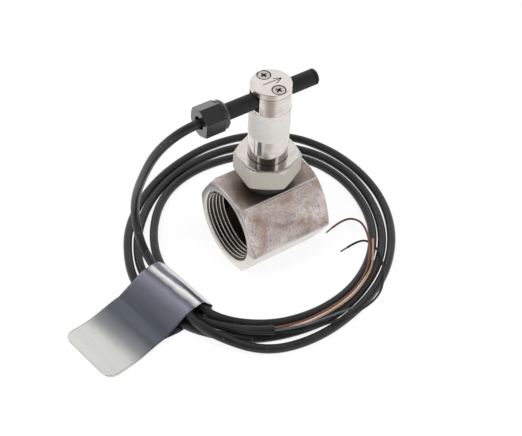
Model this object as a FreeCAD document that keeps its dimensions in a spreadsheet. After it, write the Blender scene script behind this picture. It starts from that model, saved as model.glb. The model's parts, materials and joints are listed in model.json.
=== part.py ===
"""Paddle flow switch on a hexagonal tee, with its cable coiled round it.

Millimetres. X runs along the pipe in the direction of flow, Z is up, and the origin is the
centre of the hexagon facet that the tee stands on.
"""
import FreeCAD, Part
import math
import os
import re
import Sketcher

Vector = FreeCAD.Vector

SIZES = [
    # Shared by several pieces
    ("overcut", 1.0, "how far a cut runs past the metal"),
    ("stack_gap", 0.05, "between pieces that sit on each other"),
    # Tee, turned from hexagon bar, with a pipe thread at each end
    ("tee_wall", 4.045, "from the pipe thread to the flats"),
    ("tee_length", 52.0, "end to end"),
    ("tee_face_inset", 0.2, "turned end face inside the flats"),
    ("tee_chamfer", 1.8, "length of the turned chamfer at the corners"),
    ("pipe_thread_d", 41.91, "G 1 1/4, major diameter"),
    ("pipe_thread_depth", 17.0, "thread length at each end"),
    ("pipe_mouth_edge", 0.845, "countersink at each mouth, radial"),
    ("flow_bore_step", 1.705, "from the pipe thread in to the plain bore"),
    ("thread_runout", 1.2, "cone between thread and bore"),
    # Stem, one turned piece with a hexagon
    ("stem_thread_d", 20.8, "G 1/2, major diameter"),
    ("stem_thread_gap", 0.06, "radial play of the stem thread"),
    ("stem_thread_length", 7.0, "below the collar"),
    ("stem_relief_depth", 1.0, "undercut behind the thread"),
    ("stem_relief_width", 1.4, "undercut width"),
    ("thread_lead_in", 0.9, "chamfer at the thread's end"),
    ("seal_thickness", 3.0, "thickness of the flat gasket on the tee"),
    ("seal_gap", 0.2, "radial gap between the gasket and the stem thread"),
    ("collar_width", 2.6, "collar and gasket beyond the stem thread"),
    ("collar_height", 3.0, "collar under the hexagon"),
    ("nut_flats", 32.0, "wrench size"),
    ("nut_height", 14.0, "hexagon height"),
    ("nut_face_inset", 0.5, "turned faces inside the flats"),
    ("nut_chamfer", 1.6, "chamfer height at the corners"),
    ("nut_turn", -4.0, "how far the tightened hexagon stands off square, degrees"),
    ("stem_d", 22.0, "outside"),
    ("neck_groove_depth", 0.6, "depth of the groove above the hexagon"),
    ("neck_groove_width", 0.8, "width of the groove above the hexagon"),
    ("slot_height", 57.0, "axis of the reed tube above the gasket"),
    ("slot_gap", 0.06, "radial running clearance of the reed tube"),
    ("cap_gap", 0.1, "between the reed tube and the cap"),
    ("stem_thread_wall", 2.4, "from the stem thread in to the carrier's bore"),
    ("seat_bore_top", 18.0, "shoulder over the carrier, above the gasket"),
    ("chamber_step", 0.5, "shoulder between the carrier's bore and the chamber"),
    ("chamber_roof", 6.6, "from the chamber's blind end to the reed tube"),
    ("tap_depth", 9.0, "cap screw holes"),
    ("tap_d", 4.0, "cap screw thread"),
    ("screw_wall", 0.44, "between the slot and the screw holes"),
    # Cap, screws and label
    ("cap_inset", 0.1, "clamp cap inside the stem's outline"),
    ("cap_height", 3.2, "clamp cap, thickness"),
    ("cap_edge", 0.35, "edge chamfer"),
    ("screw_hole_gap", 0.15, "clearance hole round the screw thread"),
    ("sink_gap", 0.1, "countersink round the screw's head"),
    ("screw_head_d", 7.2, "countersunk head"),
    ("screw_gap", 0.05, "radial play of the screw thread"),
    ("screw_length", 10.5, "from the head's top"),
    ("label_drop", 2.1, "foil label's upper edge below the reed tube"),
    ("label_height", 18.0, "foil label, along the stem"),
    ("label_thickness", 0.12, "foil label, thickness"),
    ("label_gap", 0.02, "glue line"),
    # Pivot, lever, paddle and magnets
    ("carrier_height", 10.0, "pivot carrier, along the stem"),
    ("press_gap", 0.03, "radial gap drawn for a press fit"),
    ("pin_d", 2.0, "pivot pin, diameter"),
    ("pin_inset", 0.5, "ends of the pivot pin inside the carrier"),
    ("pivot_play", 0.05, "radial running clearance of the lever"),
    ("spacer_d", 3.8, "spacer on the pin, outside"),
    ("spacer_length", 1.5, "spacer on the pin, length"),
    ("spacer_gap", 0.15, "side play beside the lever's eye"),
    ("ring_groove_depth", 0.7, "groove of the retaining ring"),
    ("ring_thickness", 1.0, "retaining ring, thickness"),
    ("ring_width", 1.9, "retaining ring, radial"),
    ("ring_gap_angle", 44.0, "opening of the retaining ring, degrees"),
    ("ring_play", 0.1, "retaining ring in its groove"),
    ("eye_d", 5.6, "lever eye, outside"),
    ("eye_width", 5.0, "lever eye, along the pin"),
    ("lever_d", 3.5, "lever below the eye"),
    ("lever_margin", 2.2, "lever's end below the lower rivet"),
    ("lever_edge", 0.5, "chamfer at the lever's end"),
    ("flat_margin", 0.5, "lever's flat above the blade"),
    ("lever_upper_d", 2.6, "lever above the eye"),
    ("magnet_drop", 11.8, "lever magnet's top below the reed tube"),
    ("cup_d", 5.4, "magnet cup, outside"),
    ("cup_height", 4.3, "magnet cup, height"),
    ("magnet_d", 4.2, "lever magnet, diameter"),
    ("magnet_height", 3.4, "lever magnet, height"),
    ("blade_width", 14.0, "paddle blade, across the flow"),
    ("blade_height", 31.5, "paddle blade, down the bore"),
    ("blade_floor_gap", 3.25, "lower edge above the plain bore"),
    ("blade_thickness", 0.8, "paddle blade, sheet thickness"),
    ("blade_corner", 3.0, "corner radius"),
    ("blade_offset", 0.4, "blade face upstream of the lever's axis"),
    ("rivet_d", 1.8, "blade rivets, shank"),
    ("rivet_gap", 0.04, "radial gap in the rivet holes"),
    ("rivet_head_d", 3.2, "blade rivets, head diameter"),
    ("rivet_head", 0.6, "blade rivets, head height"),
    ("rivet_edge", 1.9, "upper rivet below the blade's edge"),
    ("rivet_spacing", 4.4, "between the rivets"),
    ("return_magnet_d", 5.0, "fixed magnet, diameter"),
    ("return_magnet_height", 2.0, "fixed magnet, thickness"),
    ("return_pocket_wall", 1.2, "stem wall behind the fixed magnet's pocket"),
    ("return_magnet_gap", 0.1, "glue gap of the fixed magnet"),
    # Reed tube with its fittings
    ("tube_d", 8.8, "reed tube, outside"),
    ("tube_wall", 1.0, "reed tube"),
    ("tube_left", -33.0, "end inside the gland nut"),
    ("tube_right", 25.4, "end at the plug"),
    ("plug_flange", 1.8, "flange thickness"),
    ("plug_neck", 0.5, "groove beside the flange, width"),
    ("plug_neck_depth", 0.5, "groove beside the flange, depth"),
    ("plug_stub", 5.0, "length inside the tube"),
    ("plug_gap", 0.05, "radial gap of the stub"),
    ("plug_edge", 0.5, "flange chamfer"),
    ("gland_flats", 15.0, "wrench size of the gland nut"),
    ("gland_reach", 10.0, "gland nut beyond the tube's end"),
    ("gland_hex", 11.7, "hexagon length"),
    ("gland_shoulder", 2.8, "turned shoulder length"),
    ("gland_shoulder_rise", 0.4, "turned shoulder outside the flats"),
    ("gland_face_rise", 0.3, "turned outer face outside the flats"),
    ("gland_chamfer", 0.5, "chamfer at the corners"),
    ("gland_turn", 35.7, "corner above the horizontal, degrees"),
    ("gland_wall", 1.6, "end wall"),
    ("gland_hole_gap", 1.0, "cable hole round the cable"),
    ("gland_hole_edge", 0.4, "chamfer of the cable hole"),
    ("gland_nose", 0.3, "flat part of the shoulder's rounded end"),
    ("gland_play", 0.06, "radial thread play on the tube"),
    ("grommet_wall", 1.74, "sealing grommet"),
    ("grommet_pocket_gap", 0.3, "radial room round the grommet, open to the tube's end"),
    ("grommet_room", 2.15, "between the grommet and the tube's end"),
    ("grommet_gap", 0.06, "radial gap round the cable"),
    ("potting_length", 7.0, "sealing compound, along the tube"),
    ("potting_inset", 1.0, "sealing compound inside the tube's end"),
    ("holder_end_gap", 3.7, "switch holder from the compound and from the plug"),
    ("holder_gap", 0.15, "switch holder in the tube, radial"),
    ("holder_flat", 0.4, "flat below the tube axis"),
    ("capsule_d", 2.4, "glass capsule of the reed switch"),
    ("capsule_length", 15.0, "glass capsule, length"),
    ("capsule_wall", 0.3, "glass capsule, wall"),
    ("capsule_end", 2.4, "solid glass at each end"),
    ("capsule_gap", 0.08, "gap in the holder's groove"),
    ("capsule_edge", 0.5, "sealed ends, chamfer"),
    ("reed_width", 0.7, "contact reed, width"),
    ("reed_thickness", 0.2, "contact reed, thickness"),
    ("reed_overlap", 1.2, "contact overlap"),
    ("reed_split", 0.15, "open contact gap"),
    ("wire_d", 0.6, "switch wires, diameter"),
    ("wire_gap", 0.1, "between the wires and the capsule"),
    # Cable, cores and foil flag
    ("cable_d", 5.0, "cable jacket, outside"),
    ("core_d", 1.3, "insulated core, outside"),
    ("tip_d", 1.0, "tinned end, diameter"),
    ("tip_length", 5.0, "tinned end, length"),
    ("coil_inner", 59.5, "inner radius of the coil"),
    ("coil_width", 25.0, "band that the turns of cable take up"),
    ("coil_shift_x", 0.5, "centre of the outer turns, along the pipe"),
    ("coil_shift_y", 2.0, "centre of the outer turns, across the pipe"),
    ("coil_slack", 0.5, "height of the loose layer over the cable"),
    ("coil_round", 2.3, "rounded edges"),
    ("flag_angle", 190.0, "where the flag holds the coil, degrees"),
    ("flag_width", 39.0, "foil flag, along the cable"),
    ("flag_leaf_length", 44.0, "leaf beyond the loop"),
    ("flag_gap", 0.3, "loop inside the coil"),
    ("flag_slack", 0.5, "loop outside and over the coil"),
    ("flag_crown", 12.8, "top of the loop over the lead"),
    ("flag_lead_r", 68.0, "where the lead runs under the loop"),
    ("flag_lead_half", 1.8, "half width of the loop's crown"),
    ("flag_wall", 0.25, "foil loop"),
    ("flag_plate", 0.4, "two layers of foil"),
    ("flag_corner", 5.0, "far corners"),
    ("floor_gap", 0.05, "foil above the floor"),
]

# Route of the cable from the gland down to the coil
LEAD_ROUTE = [
    (-35.6, 0, 110), (-47, 0, 110), (-57, 3, 104), (-63.5, 9, 91.5), (-66, 17.5, 72),
    (-66, 29, 46), (-66.5, 31, 27), (-67.8, 22, 12.2), (-68.3, 6, 8.7), (-67, -12, 8.6),
    (-62.5, -26, 6.6), (-56, -37, 3.4),
]
# Route of the cable's far end, out of the coil to the cut jacket
TAIL_ROUTE = [(-67, -34, 3.6), (-60.5, -45.5, 6.4), (-50, -56, 8.7), (-36, -64.5, 8.9)]
# Routes of the four cores from the jacket's end
CORE_ROUTES = {
    "core_brown": [
        (-35.6, -63.8, 9.7), (-22, -67.6, 7.8), (-2, -68.6, 7.2), (18, -65.7, 7.2),
        (36, -56, 7.8), (49, -41, 8.9), (56.5, -26, 8.6), (56, -16.5, 6.2),
        (48.5, -12.6, 2.8), (38.5, -15.2, 1.2),
    ],
    "core_tan": [
        (-35.6, -63.8, 8.1), (-22, -69.4, 7.0), (-2, -70.5, 7.2), (18, -67.6, 7.2),
        (37, -58, 7.6), (50.4, -43, 8.8), (55.2, -33, 9.0),
    ],
    "core_grey": [(-36.4, -65.2, 9.7), (-24, -71, 8.0), (-8, -73, 7.2), (11, -72, 7.3)],
    "core_black": [
        (-36.4, -65.2, 8.1), (-24, -72.6, 7.1), (-5, -75.2, 7.2), (14, -75.2, 7.2),
        (31, -71.6, 7.2), (44, -60.5, 7.2), (53.6, -46, 7.1), (53.2, -36.5, 7.0),
        (46.5, -31.6, 6.3), (37, -32.4, 1.2),
    ],
}
TINNED_CORES = ("core_brown", "core_black")
ARC_SHARE = 0.45
SAME_LENGTH = 1e-6

ALIASES = {alias for alias, _, _ in SIZES}

document = FreeCAD.newDocument("paddle_flow_switch")
sheet = document.addObject("Spreadsheet::Sheet", "sizes")
for row, (alias, size, meaning) in enumerate(SIZES, start=1):
    sheet.set(f"A{row}", meaning)
    sheet.set(f"B{row}", str(size))
    sheet.setAlias(f"B{row}", alias)
document.recompute()


def full(expression):
    """Put the sheet's name before each alias of an expression."""
    def named(word):
        return f"sizes.{word.group()}" if word.group() in ALIASES else word.group()
    return re.sub(r"[a-z_][a-z0-9_]*", named, expression)


def value(expression):
    """Read an expression over the sheet's aliases as a number."""
    return float(sheet.evalExpression(full(str(expression))))


# Places and widths that several pieces share, as expressions over the sheet
TEE_FLATS = "(pipe_thread_d + 2 * tee_wall)"
FLOW_BORE = "(pipe_thread_d - 2 * flow_bore_step)"
COLLAR = "(stem_thread_d + 2 * collar_width)"
SEAT = f"({TEE_FLATS} + seal_thickness)"
NUT_TOP = "(collar_height + nut_height)"
STEM_TOP = "(slot_height + tube_d / 2 + cap_gap)"
SEAT_BORE = "(stem_thread_d - 2 * stem_thread_wall)"
CHAMBER = f"({SEAT_BORE} - 2 * chamber_step)"
CHAMBER_TOP = "(slot_height - tube_d / 2 - chamber_roof)"
RING_GROOVE = f"({SEAT_BORE} + 2 * ring_groove_depth)"
SLOT_HALF = "(tube_d / 2 + slot_gap)"
SCREW_OFFSET = f"({SLOT_HALF} + screw_wall + tap_d / 2)"
SCREW = "(tap_d - 2 * screw_gap)"
SCREW_HOLE = "(tap_d + 2 * screw_hole_gap)"
SINK = "(screw_head_d + 2 * sink_gap)"
TUBE_AXIS = f"({SEAT} + slot_height)"
TUBE_BORE = "(tube_d - 2 * tube_wall)"
TUBE_END = "(tube_right + plug_neck + plug_flange)"
PIVOT_HEIGHT = "(seat_bore_top - carrier_height / 2)"
PIVOT = f"({SEAT} + {PIVOT_HEIGHT})"
SPACER_END = "(eye_width / 2 + spacer_gap + spacer_length)"
CARRIER_BORE = f"(2 * sqrt(({SPACER_END} + stack_gap) ^ 2 + (spacer_d / 2) ^ 2))"
BLADE_BOTTOM = f"({PIVOT} - {TEE_FLATS} / 2 + {FLOW_BORE} / 2 - blade_floor_gap)"
BLADE_TOP = f"({BLADE_BOTTOM} - blade_height)"
UPPER_RIVET = f"({BLADE_TOP} + rivet_edge)"
LOWER_RIVET = f"({UPPER_RIVET} + rivet_spacing)"
LEVER_DROP = f"({LOWER_RIVET} + lever_margin)"
CUP_TOP = f"(slot_height - {PIVOT_HEIGHT} - tube_d / 2 - magnet_drop)"
CUP_BOTTOM = f"({CUP_TOP} - cup_height)"
MAGNET_MIDDLE = f"({CUP_TOP} - cup_height / 2)"
POCKET_DEPTH = f"(stem_d / 2 - {CHAMBER} / 2 - return_pocket_wall)"
GLAND_LEFT = "(tube_left - gland_reach)"
GROMMET = "(cable_d / 2 + grommet_gap + grommet_wall)"
POTTING_LEFT = "(tube_left + potting_inset)"
HOLDER_LEFT = f"({POTTING_LEFT} + potting_length + holder_end_gap)"
HOLDER_RIGHT = "(tube_right - plug_stub - holder_end_gap)"
HOLDER = f"({TUBE_BORE} - 2 * holder_gap)"
COIL_BOTTOM = "(floor_gap + flag_plate + stack_gap)"
COIL_TOP = f"({COIL_BOTTOM} + cable_d + coil_slack)"
COIL_OUTER = "(coil_inner + coil_width)"
FLAG_INNER = "(coil_inner - flag_gap)"
FLAG_OUTER = f"({COIL_OUTER} + flag_slack)"
FLAG_SIDE = f"({COIL_TOP} + flag_slack)"
FLAG_SPREAD = f"(flag_width / ({FLAG_INNER} + {FLAG_OUTER}) * 360 / pi)"


def new_body(name, x="0", y="0", z="0"):
    """Start a sub-part and bind its place to the sheet."""
    body = document.addObject("PartDesign::Body", name)
    body.Label = name
    for axis, expression in (("x", x), ("y", y), ("z", z)):
        body.setExpression(f"Placement.Base.{axis}", full(expression))
    return body


def origin_feature(body, role):
    """Find one of a body's own origin planes or axes."""
    return [item for item in body.Origin.OriginFeatures if item.Role == role][0]


def new_sketch(body, name, plane, offset=None):
    """Attach a sketch to an origin plane, moved along its normal by an expression."""
    sketch = body.newObject("Sketcher::SketchObject", name)
    sketch.AttachmentSupport = [(origin_feature(body, plane), "")]
    sketch.MapMode = "FlatFace"
    if offset is not None:
        sketch.setExpression("AttachmentOffset.Base.z", full(offset))
    return sketch


def pin_point(sketch, geometry, point, x, y):
    """Tie a sketch point to the sketch's origin by two driven distances."""
    for kind, expression in (("DistanceX", x), ("DistanceY", y)):
        constraint = Sketcher.Constraint(kind, -1, 1, geometry, point, value(expression))
        index = sketch.addConstraint(constraint)
        sketch.setExpression(f"Constraints[{index}]", full(expression))


def add_outline(sketch, corners):
    """Draw a closed outline whose corners are pairs of expressions."""
    places = [Vector(value(x), value(y), 0) for x, y in corners]
    first = sketch.GeometryCount
    count = len(corners)
    for index in range(count):
        sketch.addGeometry(Part.LineSegment(places[index], places[(index + 1) % count]), False)
    for index in range(count):
        following = first + (index + 1) % count
        sketch.addConstraint(Sketcher.Constraint("Coincident", first + index, 2, following, 1))
        pin_point(sketch, first + index, 1, *corners[index])


def add_circle(sketch, diameter, x="0", y="0"):
    """Draw a circle with a driven diameter and centre."""
    centre = Vector(value(x), value(y), 0)
    circle = Part.Circle(centre, Vector(0, 0, 1), value(diameter) / 2)
    index = sketch.addGeometry(circle, False)
    constraint = sketch.addConstraint(Sketcher.Constraint("Diameter", index, value(diameter)))
    sketch.setExpression(f"Constraints[{constraint}]", full(diameter))
    pin_point(sketch, index, 3, x, y)


def hexagon(flats, turn="0"):
    """Corners of a hexagon, its first one turned from the X axis, as expressions."""
    radius = f"({flats} / 2 / cos(30))"
    corners = []
    for index in range(6):
        angle = f"({turn} + {60 * index})"
        corners.append((f"{radius} * cos({angle})", f"{radius} * sin({angle})"))
    return corners


def changed(body, before, grows, name):
    """Stop when a feature has left the solid as it was."""
    document.recompute()
    after = body.Shape.Volume
    if (grows and after <= before) or (not grows and after >= before):
        raise RuntimeError(f"{name} changed nothing")


def revolve(body, name, corners, axis, cut=False, plane="XZ_Plane", offset=None, angle="360"):
    """Turn an outline about its sketch's axis, as material or as a cut."""
    before = 0.0 if body.Tip is None else body.Shape.Volume
    sketch = new_sketch(body, f"{name}_profile", plane, offset)
    add_outline(sketch, corners)
    kind = "PartDesign::Groove" if cut else "PartDesign::Revolution"
    feature = body.newObject(kind, name)
    feature.Profile = sketch
    feature.ReferenceAxis = (sketch, [axis])
    feature.Midplane = True
    feature.setExpression("Angle", full(angle))
    changed(body, before, not cut, name)
    return feature


def extrude(body, name, sketch, length, cut=False, both_ways=False, reverse=False):
    """Pad or pocket a sketch by a driven length."""
    before = 0.0 if body.Tip is None else body.Shape.Volume
    feature = body.newObject("PartDesign::Pocket" if cut else "PartDesign::Pad", name)
    feature.Profile = sketch
    feature.Midplane = both_ways
    feature.Reversed = reverse
    feature.setExpression("Length", full(length))
    changed(body, before, not cut, name)
    return feature


def mirror(body, name, feature, plane):
    """Repeat a feature on the other side of an origin plane."""
    before = body.Shape.Volume
    copy = body.newObject("PartDesign::Mirrored", name)
    copy.Originals = [feature]
    copy.MirrorPlane = (origin_feature(body, plane), [""])
    body.Tip = copy
    document.recompute()
    if abs(body.Shape.Volume - before) < SAME_LENGTH:
        raise RuntimeError(f"{name} changed nothing")
    return copy


def ring_corners(inner, outer, low, high, across_first=True):
    """Rectangle between two radii and two stations, for a turned ring."""
    corners = [(inner, low), (outer, low), (outer, high), (inner, high)]
    return corners if across_first else [(station, radius) for radius, station in corners]


def turned_ring(name, inner, outer, low, high, axis="V_Axis", **place):
    """A plain ring or disc about Z (V_Axis) or X (H_Axis)."""
    body = new_body(name, **place)
    corners = ring_corners(inner, outer, low, high, axis == "V_Axis")
    revolve(body, f"{name}_ring", corners, axis)
    return body


def build_tee():
    """Hexagon bar with turned ends, a threaded pipe socket at each end and the stem's hole."""
    body = new_body("tee_body", z=f"{TEE_FLATS} / 2")
    section = new_sketch(body, "tee_section", "YZ_Plane")
    add_outline(section, hexagon(TEE_FLATS))
    extrude(body, "tee_bar", section, "tee_length", both_ways=True)
    end = "tee_length / 2"
    corner = f"({TEE_FLATS} / 2 / cos(30))"
    chamfer = [
        (end, f"{TEE_FLATS} / 2 - tee_face_inset"),
        (end, f"{corner} + overcut"),
        (f"{end} - tee_chamfer", f"{corner} + overcut"),
        (f"{end} - tee_chamfer", corner),
    ]
    groove = revolve(body, "tee_end_chamfer", chamfer, "H_Axis", cut=True)
    mirror(body, "tee_other_chamfer", groove, "YZ_Plane")
    bore_radius = f"{FLOW_BORE} / 2"
    bore = [(f"-{end}", "0"), (end, "0"), (end, bore_radius), (f"-{end}", bore_radius)]
    revolve(body, "tee_flow_bore", bore, "H_Axis", cut=True)
    thread = "pipe_thread_d / 2"
    stop = f"{end} - pipe_thread_depth"
    socket = [
        (end, f"{bore_radius} - overcut"),
        (end, f"{thread} + pipe_mouth_edge"),
        (f"{end} - pipe_mouth_edge", thread),
        (stop, thread),
        (f"{stop} - thread_runout", bore_radius),
        (f"{stop} - thread_runout", f"{bore_radius} - overcut"),
    ]
    groove = revolve(body, "tee_socket", socket, "H_Axis", cut=True)
    mirror(body, "tee_other_socket", groove, "YZ_Plane")
    hole_radius = "stem_thread_d / 2 + stem_thread_gap"
    hole = ring_corners("0", hole_radius, "0", f"{TEE_FLATS} / 2")
    revolve(body, "tee_stem_hole", hole, "V_Axis", cut=True)


def build_stem():
    """Threaded, hexagonal and slotted stem with the lever's chamber inside."""
    body = new_body("stem_housing", z=SEAT)
    outer = "stem_d / 2"
    thread = "stem_thread_d / 2"
    profile = [
        ("0", "-stem_thread_length"),
        (f"{thread} - thread_lead_in", "-stem_thread_length"),
        (thread, "thread_lead_in - stem_thread_length"),
        (thread, "-stem_relief_width"),
        (f"{thread} - stem_relief_depth", "-stem_relief_width"),
        (f"{thread} - stem_relief_depth", "0"),
        (f"{COLLAR} / 2", "0"),
        (f"{COLLAR} / 2", "collar_height"),
        (f"{outer} - neck_groove_depth", "collar_height"),
        (f"{outer} - neck_groove_depth", f"{NUT_TOP} + neck_groove_width"),
        (outer, f"{NUT_TOP} + neck_groove_width"),
        (outer, STEM_TOP),
        ("0", STEM_TOP),
    ]
    revolve(body, "stem_turned", profile, "V_Axis")
    section = new_sketch(body, "nut_section", "XY_Plane", "collar_height")
    add_outline(section, hexagon("nut_flats", "(nut_turn + 30)"))
    extrude(body, "nut_hexagon", section, "nut_height")
    corner = "(nut_flats / 2 / cos(30))"
    for name, face, away in (
        ("nut_lower_chamfer", "collar_height", "nut_chamfer"),
        ("nut_upper_chamfer", NUT_TOP, "-nut_chamfer"),
    ):
        chamfer = [
            ("nut_flats / 2 - nut_face_inset", face),
            (f"{corner} + overcut", face),
            (f"{corner} + overcut", f"{face} + {away}"),
            (corner, f"{face} + {away}"),
        ]
        revolve(body, name, chamfer, "V_Axis", cut=True)
    hollow = [
        ("0", "-stem_thread_length"),
        (f"{SEAT_BORE} / 2", "-stem_thread_length"),
        (f"{SEAT_BORE} / 2", "seat_bore_top"),
        (f"{CHAMBER} / 2", "seat_bore_top"),
        (f"{CHAMBER} / 2", CHAMBER_TOP),
        ("0", CHAMBER_TOP),
    ]
    revolve(body, "stem_chamber", hollow, "V_Axis", cut=True)
    ring_top = "seat_bore_top - carrier_height"
    groove = ring_corners(
        f"{SEAT_BORE} / 2 - overcut", f"{RING_GROOVE} / 2",
        f"{ring_top} - ring_thickness - ring_play", ring_top,
    )
    revolve(body, "stem_ring_groove", groove, "V_Axis", cut=True)
    seat = new_sketch(body, "slot_round", "YZ_Plane")
    add_circle(seat, f"2 * {SLOT_HALF}", "0", "slot_height")
    extrude(body, "stem_slot_round", seat, "stem_d * 2", cut=True, both_ways=True)
    opening = new_sketch(body, "slot_opening", "YZ_Plane")
    add_outline(opening, [
        (f"-{SLOT_HALF}", "slot_height"), (SLOT_HALF, "slot_height"),
        (SLOT_HALF, f"{STEM_TOP} + overcut"), (f"-{SLOT_HALF}", f"{STEM_TOP} + overcut"),
    ])
    extrude(body, "stem_slot_open", opening, "stem_d * 2", cut=True, both_ways=True)
    tap = ring_corners("0", "tap_d / 2", f"{STEM_TOP} - tap_depth", STEM_TOP)
    hole = revolve(body, "stem_screw_hole", tap, "V_Axis", cut=True, offset=SCREW_OFFSET)
    mirror(body, "stem_other_hole", hole, "XZ_Plane")
    pocket = new_sketch(body, "return_magnet_place", "YZ_Plane", f"overcut - {CHAMBER} / 2")
    pocket_d = "return_magnet_d + 2 * return_magnet_gap"
    add_circle(pocket, pocket_d, "0", f"{PIVOT_HEIGHT} + {MAGNET_MIDDLE}")
    extrude(body, "return_magnet_pocket", pocket, f"{POCKET_DEPTH} + overcut", cut=True)


def build_cap():
    """Clamp cap with two countersunk holes, and its screws."""
    body = new_body("clamp_cap", z=f"{SEAT} + {STEM_TOP}")
    rim = "stem_d / 2 - cap_inset"
    profile = [
        ("0", "0"), (rim, "0"), (rim, "cap_height - cap_edge"),
        (f"{rim} - cap_edge", "cap_height"), ("0", "cap_height"),
    ]
    revolve(body, "cap_disc", profile, "V_Axis")
    sink_depth = f"({SINK} - {SCREW_HOLE}) / 2"
    hole = [
        ("0", "0"), (f"{SCREW_HOLE} / 2", "0"),
        (f"{SCREW_HOLE} / 2", f"cap_height - {sink_depth}"),
        (f"{SINK} / 2", "cap_height"), ("0", "cap_height"),
    ]
    groove = revolve(body, "cap_screw_hole", hole, "V_Axis", cut=True, offset=SCREW_OFFSET)
    mirror(body, "cap_other_hole", groove, "XZ_Plane")

    screws = new_body("cap_screws", z=f"{SEAT} + {STEM_TOP} + cap_height")
    under_flush = "sink_gap / 2"
    cone_depth = f"(screw_head_d - {SCREW}) / 2"
    profile = [
        ("0", f"-{under_flush}"), ("screw_head_d / 2", f"-{under_flush}"),
        (f"{SCREW} / 2", f"-{under_flush} - {cone_depth}"),
        (f"{SCREW} / 2", "-screw_length"), ("0", "-screw_length"),
    ]
    turned = revolve(screws, "cap_screw", profile, "V_Axis", offset=SCREW_OFFSET)
    mirror(screws, "other_cap_screw", turned, "XZ_Plane")


def build_label():
    """Foil label wrapped round the stem."""
    inner = "stem_d / 2 + label_gap"
    top = "slot_height - tube_d / 2 - label_drop"
    outer = f"{inner} + label_thickness"
    turned_ring("stem_label", inner, outer, f"{top} - label_height", top, z=SEAT)


def build_pivot():
    """Carrier, pin, spacers and retaining ring in the stem's lower bore."""
    half = "carrier_height / 2"
    body = turned_ring(
        "pivot_carrier", f"{CARRIER_BORE} / 2", f"{SEAT_BORE} / 2 - press_gap",
        f"-{half}", half, z=PIVOT,
    )
    hole = new_sketch(body, "carrier_pin_hole", "XZ_Plane")
    add_circle(hole, "pin_d + 2 * press_gap")
    extrude(body, "carrier_pin_bore", hole, f"{SEAT_BORE} * 2", cut=True, both_ways=True)
    pin = new_body("pivot_pin", z=PIVOT)
    section = new_sketch(pin, "pin_section", "XZ_Plane")
    add_circle(section, "pin_d")
    extrude(pin, "pin_rod", section, f"{SEAT_BORE} - 2 * pin_inset", both_ways=True)
    spacers = new_body("pin_spacers", z=PIVOT)
    start = "eye_width / 2 + spacer_gap"
    section = new_sketch(spacers, "spacer_section", "XZ_Plane", start)
    add_circle(section, "spacer_d")
    add_circle(section, "pin_d + 2 * press_gap")
    pad = extrude(spacers, "spacer", section, "spacer_length")
    mirror(spacers, "other_spacer", pad, "XZ_Plane")
    top = "seat_bore_top - carrier_height - stack_gap"
    ring_outer = f"{RING_GROOVE} / 2 - ring_play"
    ring = new_body("retaining_ring", z=SEAT)
    corners = ring_corners(
        f"{ring_outer} - ring_width", ring_outer, f"{top} - ring_thickness", top
    )
    revolve(ring, "ring_arc", corners, "V_Axis", angle="360 - ring_gap_angle")


def build_lever():
    """Lever with eye, flat and magnet cup, in the pivot's own frame."""
    body = new_body("paddle_lever", z=PIVOT)
    lower = "lever_d / 2"
    upper = "lever_upper_d / 2"
    rod = [
        ("0", f"-{LEVER_DROP}"), (f"{lower} - lever_edge", f"-{LEVER_DROP}"),
        (lower, f"lever_edge - {LEVER_DROP}"), (lower, "0"), (upper, "0"),
        (upper, CUP_BOTTOM), ("0", CUP_BOTTOM),
    ]
    revolve(body, "lever_rod", rod, "V_Axis")
    eye = new_sketch(body, "lever_eye", "XZ_Plane")
    add_circle(eye, "eye_d")
    extrude(body, "lever_eye_boss", eye, "eye_width", both_ways=True)
    bore = new_sketch(body, "lever_bore", "XZ_Plane")
    add_circle(bore, "pin_d + 2 * pivot_play")
    extrude(body, "lever_pin_bore", bore, "eye_width * 2", cut=True, both_ways=True)
    flat = new_sketch(body, "lever_flat", "XZ_Plane")
    flat_low = f"-{LEVER_DROP} - overcut"
    flat_high = f"flat_margin - {BLADE_TOP}"
    add_outline(flat, [
        ("-lever_d", flat_low), ("-blade_offset", flat_low),
        ("-blade_offset", flat_high), ("-lever_d", flat_high),
    ])
    extrude(body, "lever_flat_cut", flat, "lever_d * 2", cut=True, both_ways=True)
    cut_rivet_holes(body)
    cup_outer = "cup_d / 2"
    cup_floor = f"{CUP_TOP} - magnet_height - stack_gap"
    cup_base = f"{CUP_BOTTOM} + stack_gap"
    cup_inner = "magnet_d / 2 + press_gap"
    turned = new_body("magnet_cup", z=PIVOT)
    revolve(turned, "cup_shell", [
        ("0", cup_base), (cup_outer, cup_base), (cup_outer, CUP_TOP),
        (cup_inner, CUP_TOP), (cup_inner, cup_floor), ("0", cup_floor),
    ], "V_Axis")
    magnet_base = f"{cup_floor} + stack_gap"
    turned_ring("lever_magnet", "0", "magnet_d / 2", magnet_base, CUP_TOP, z=PIVOT)


def cut_rivet_holes(body):
    """Two holes along the flow for the blade's rivets."""
    holes = new_sketch(body, f"{body.Name}_rivet_holes", "YZ_Plane")
    for drop in (UPPER_RIVET, LOWER_RIVET):
        add_circle(holes, "rivet_d + 2 * rivet_gap", "0", f"-{drop}")
    extrude(body, f"{body.Name}_rivet_bores", holes, "lever_d * 4", cut=True, both_ways=True)


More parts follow.
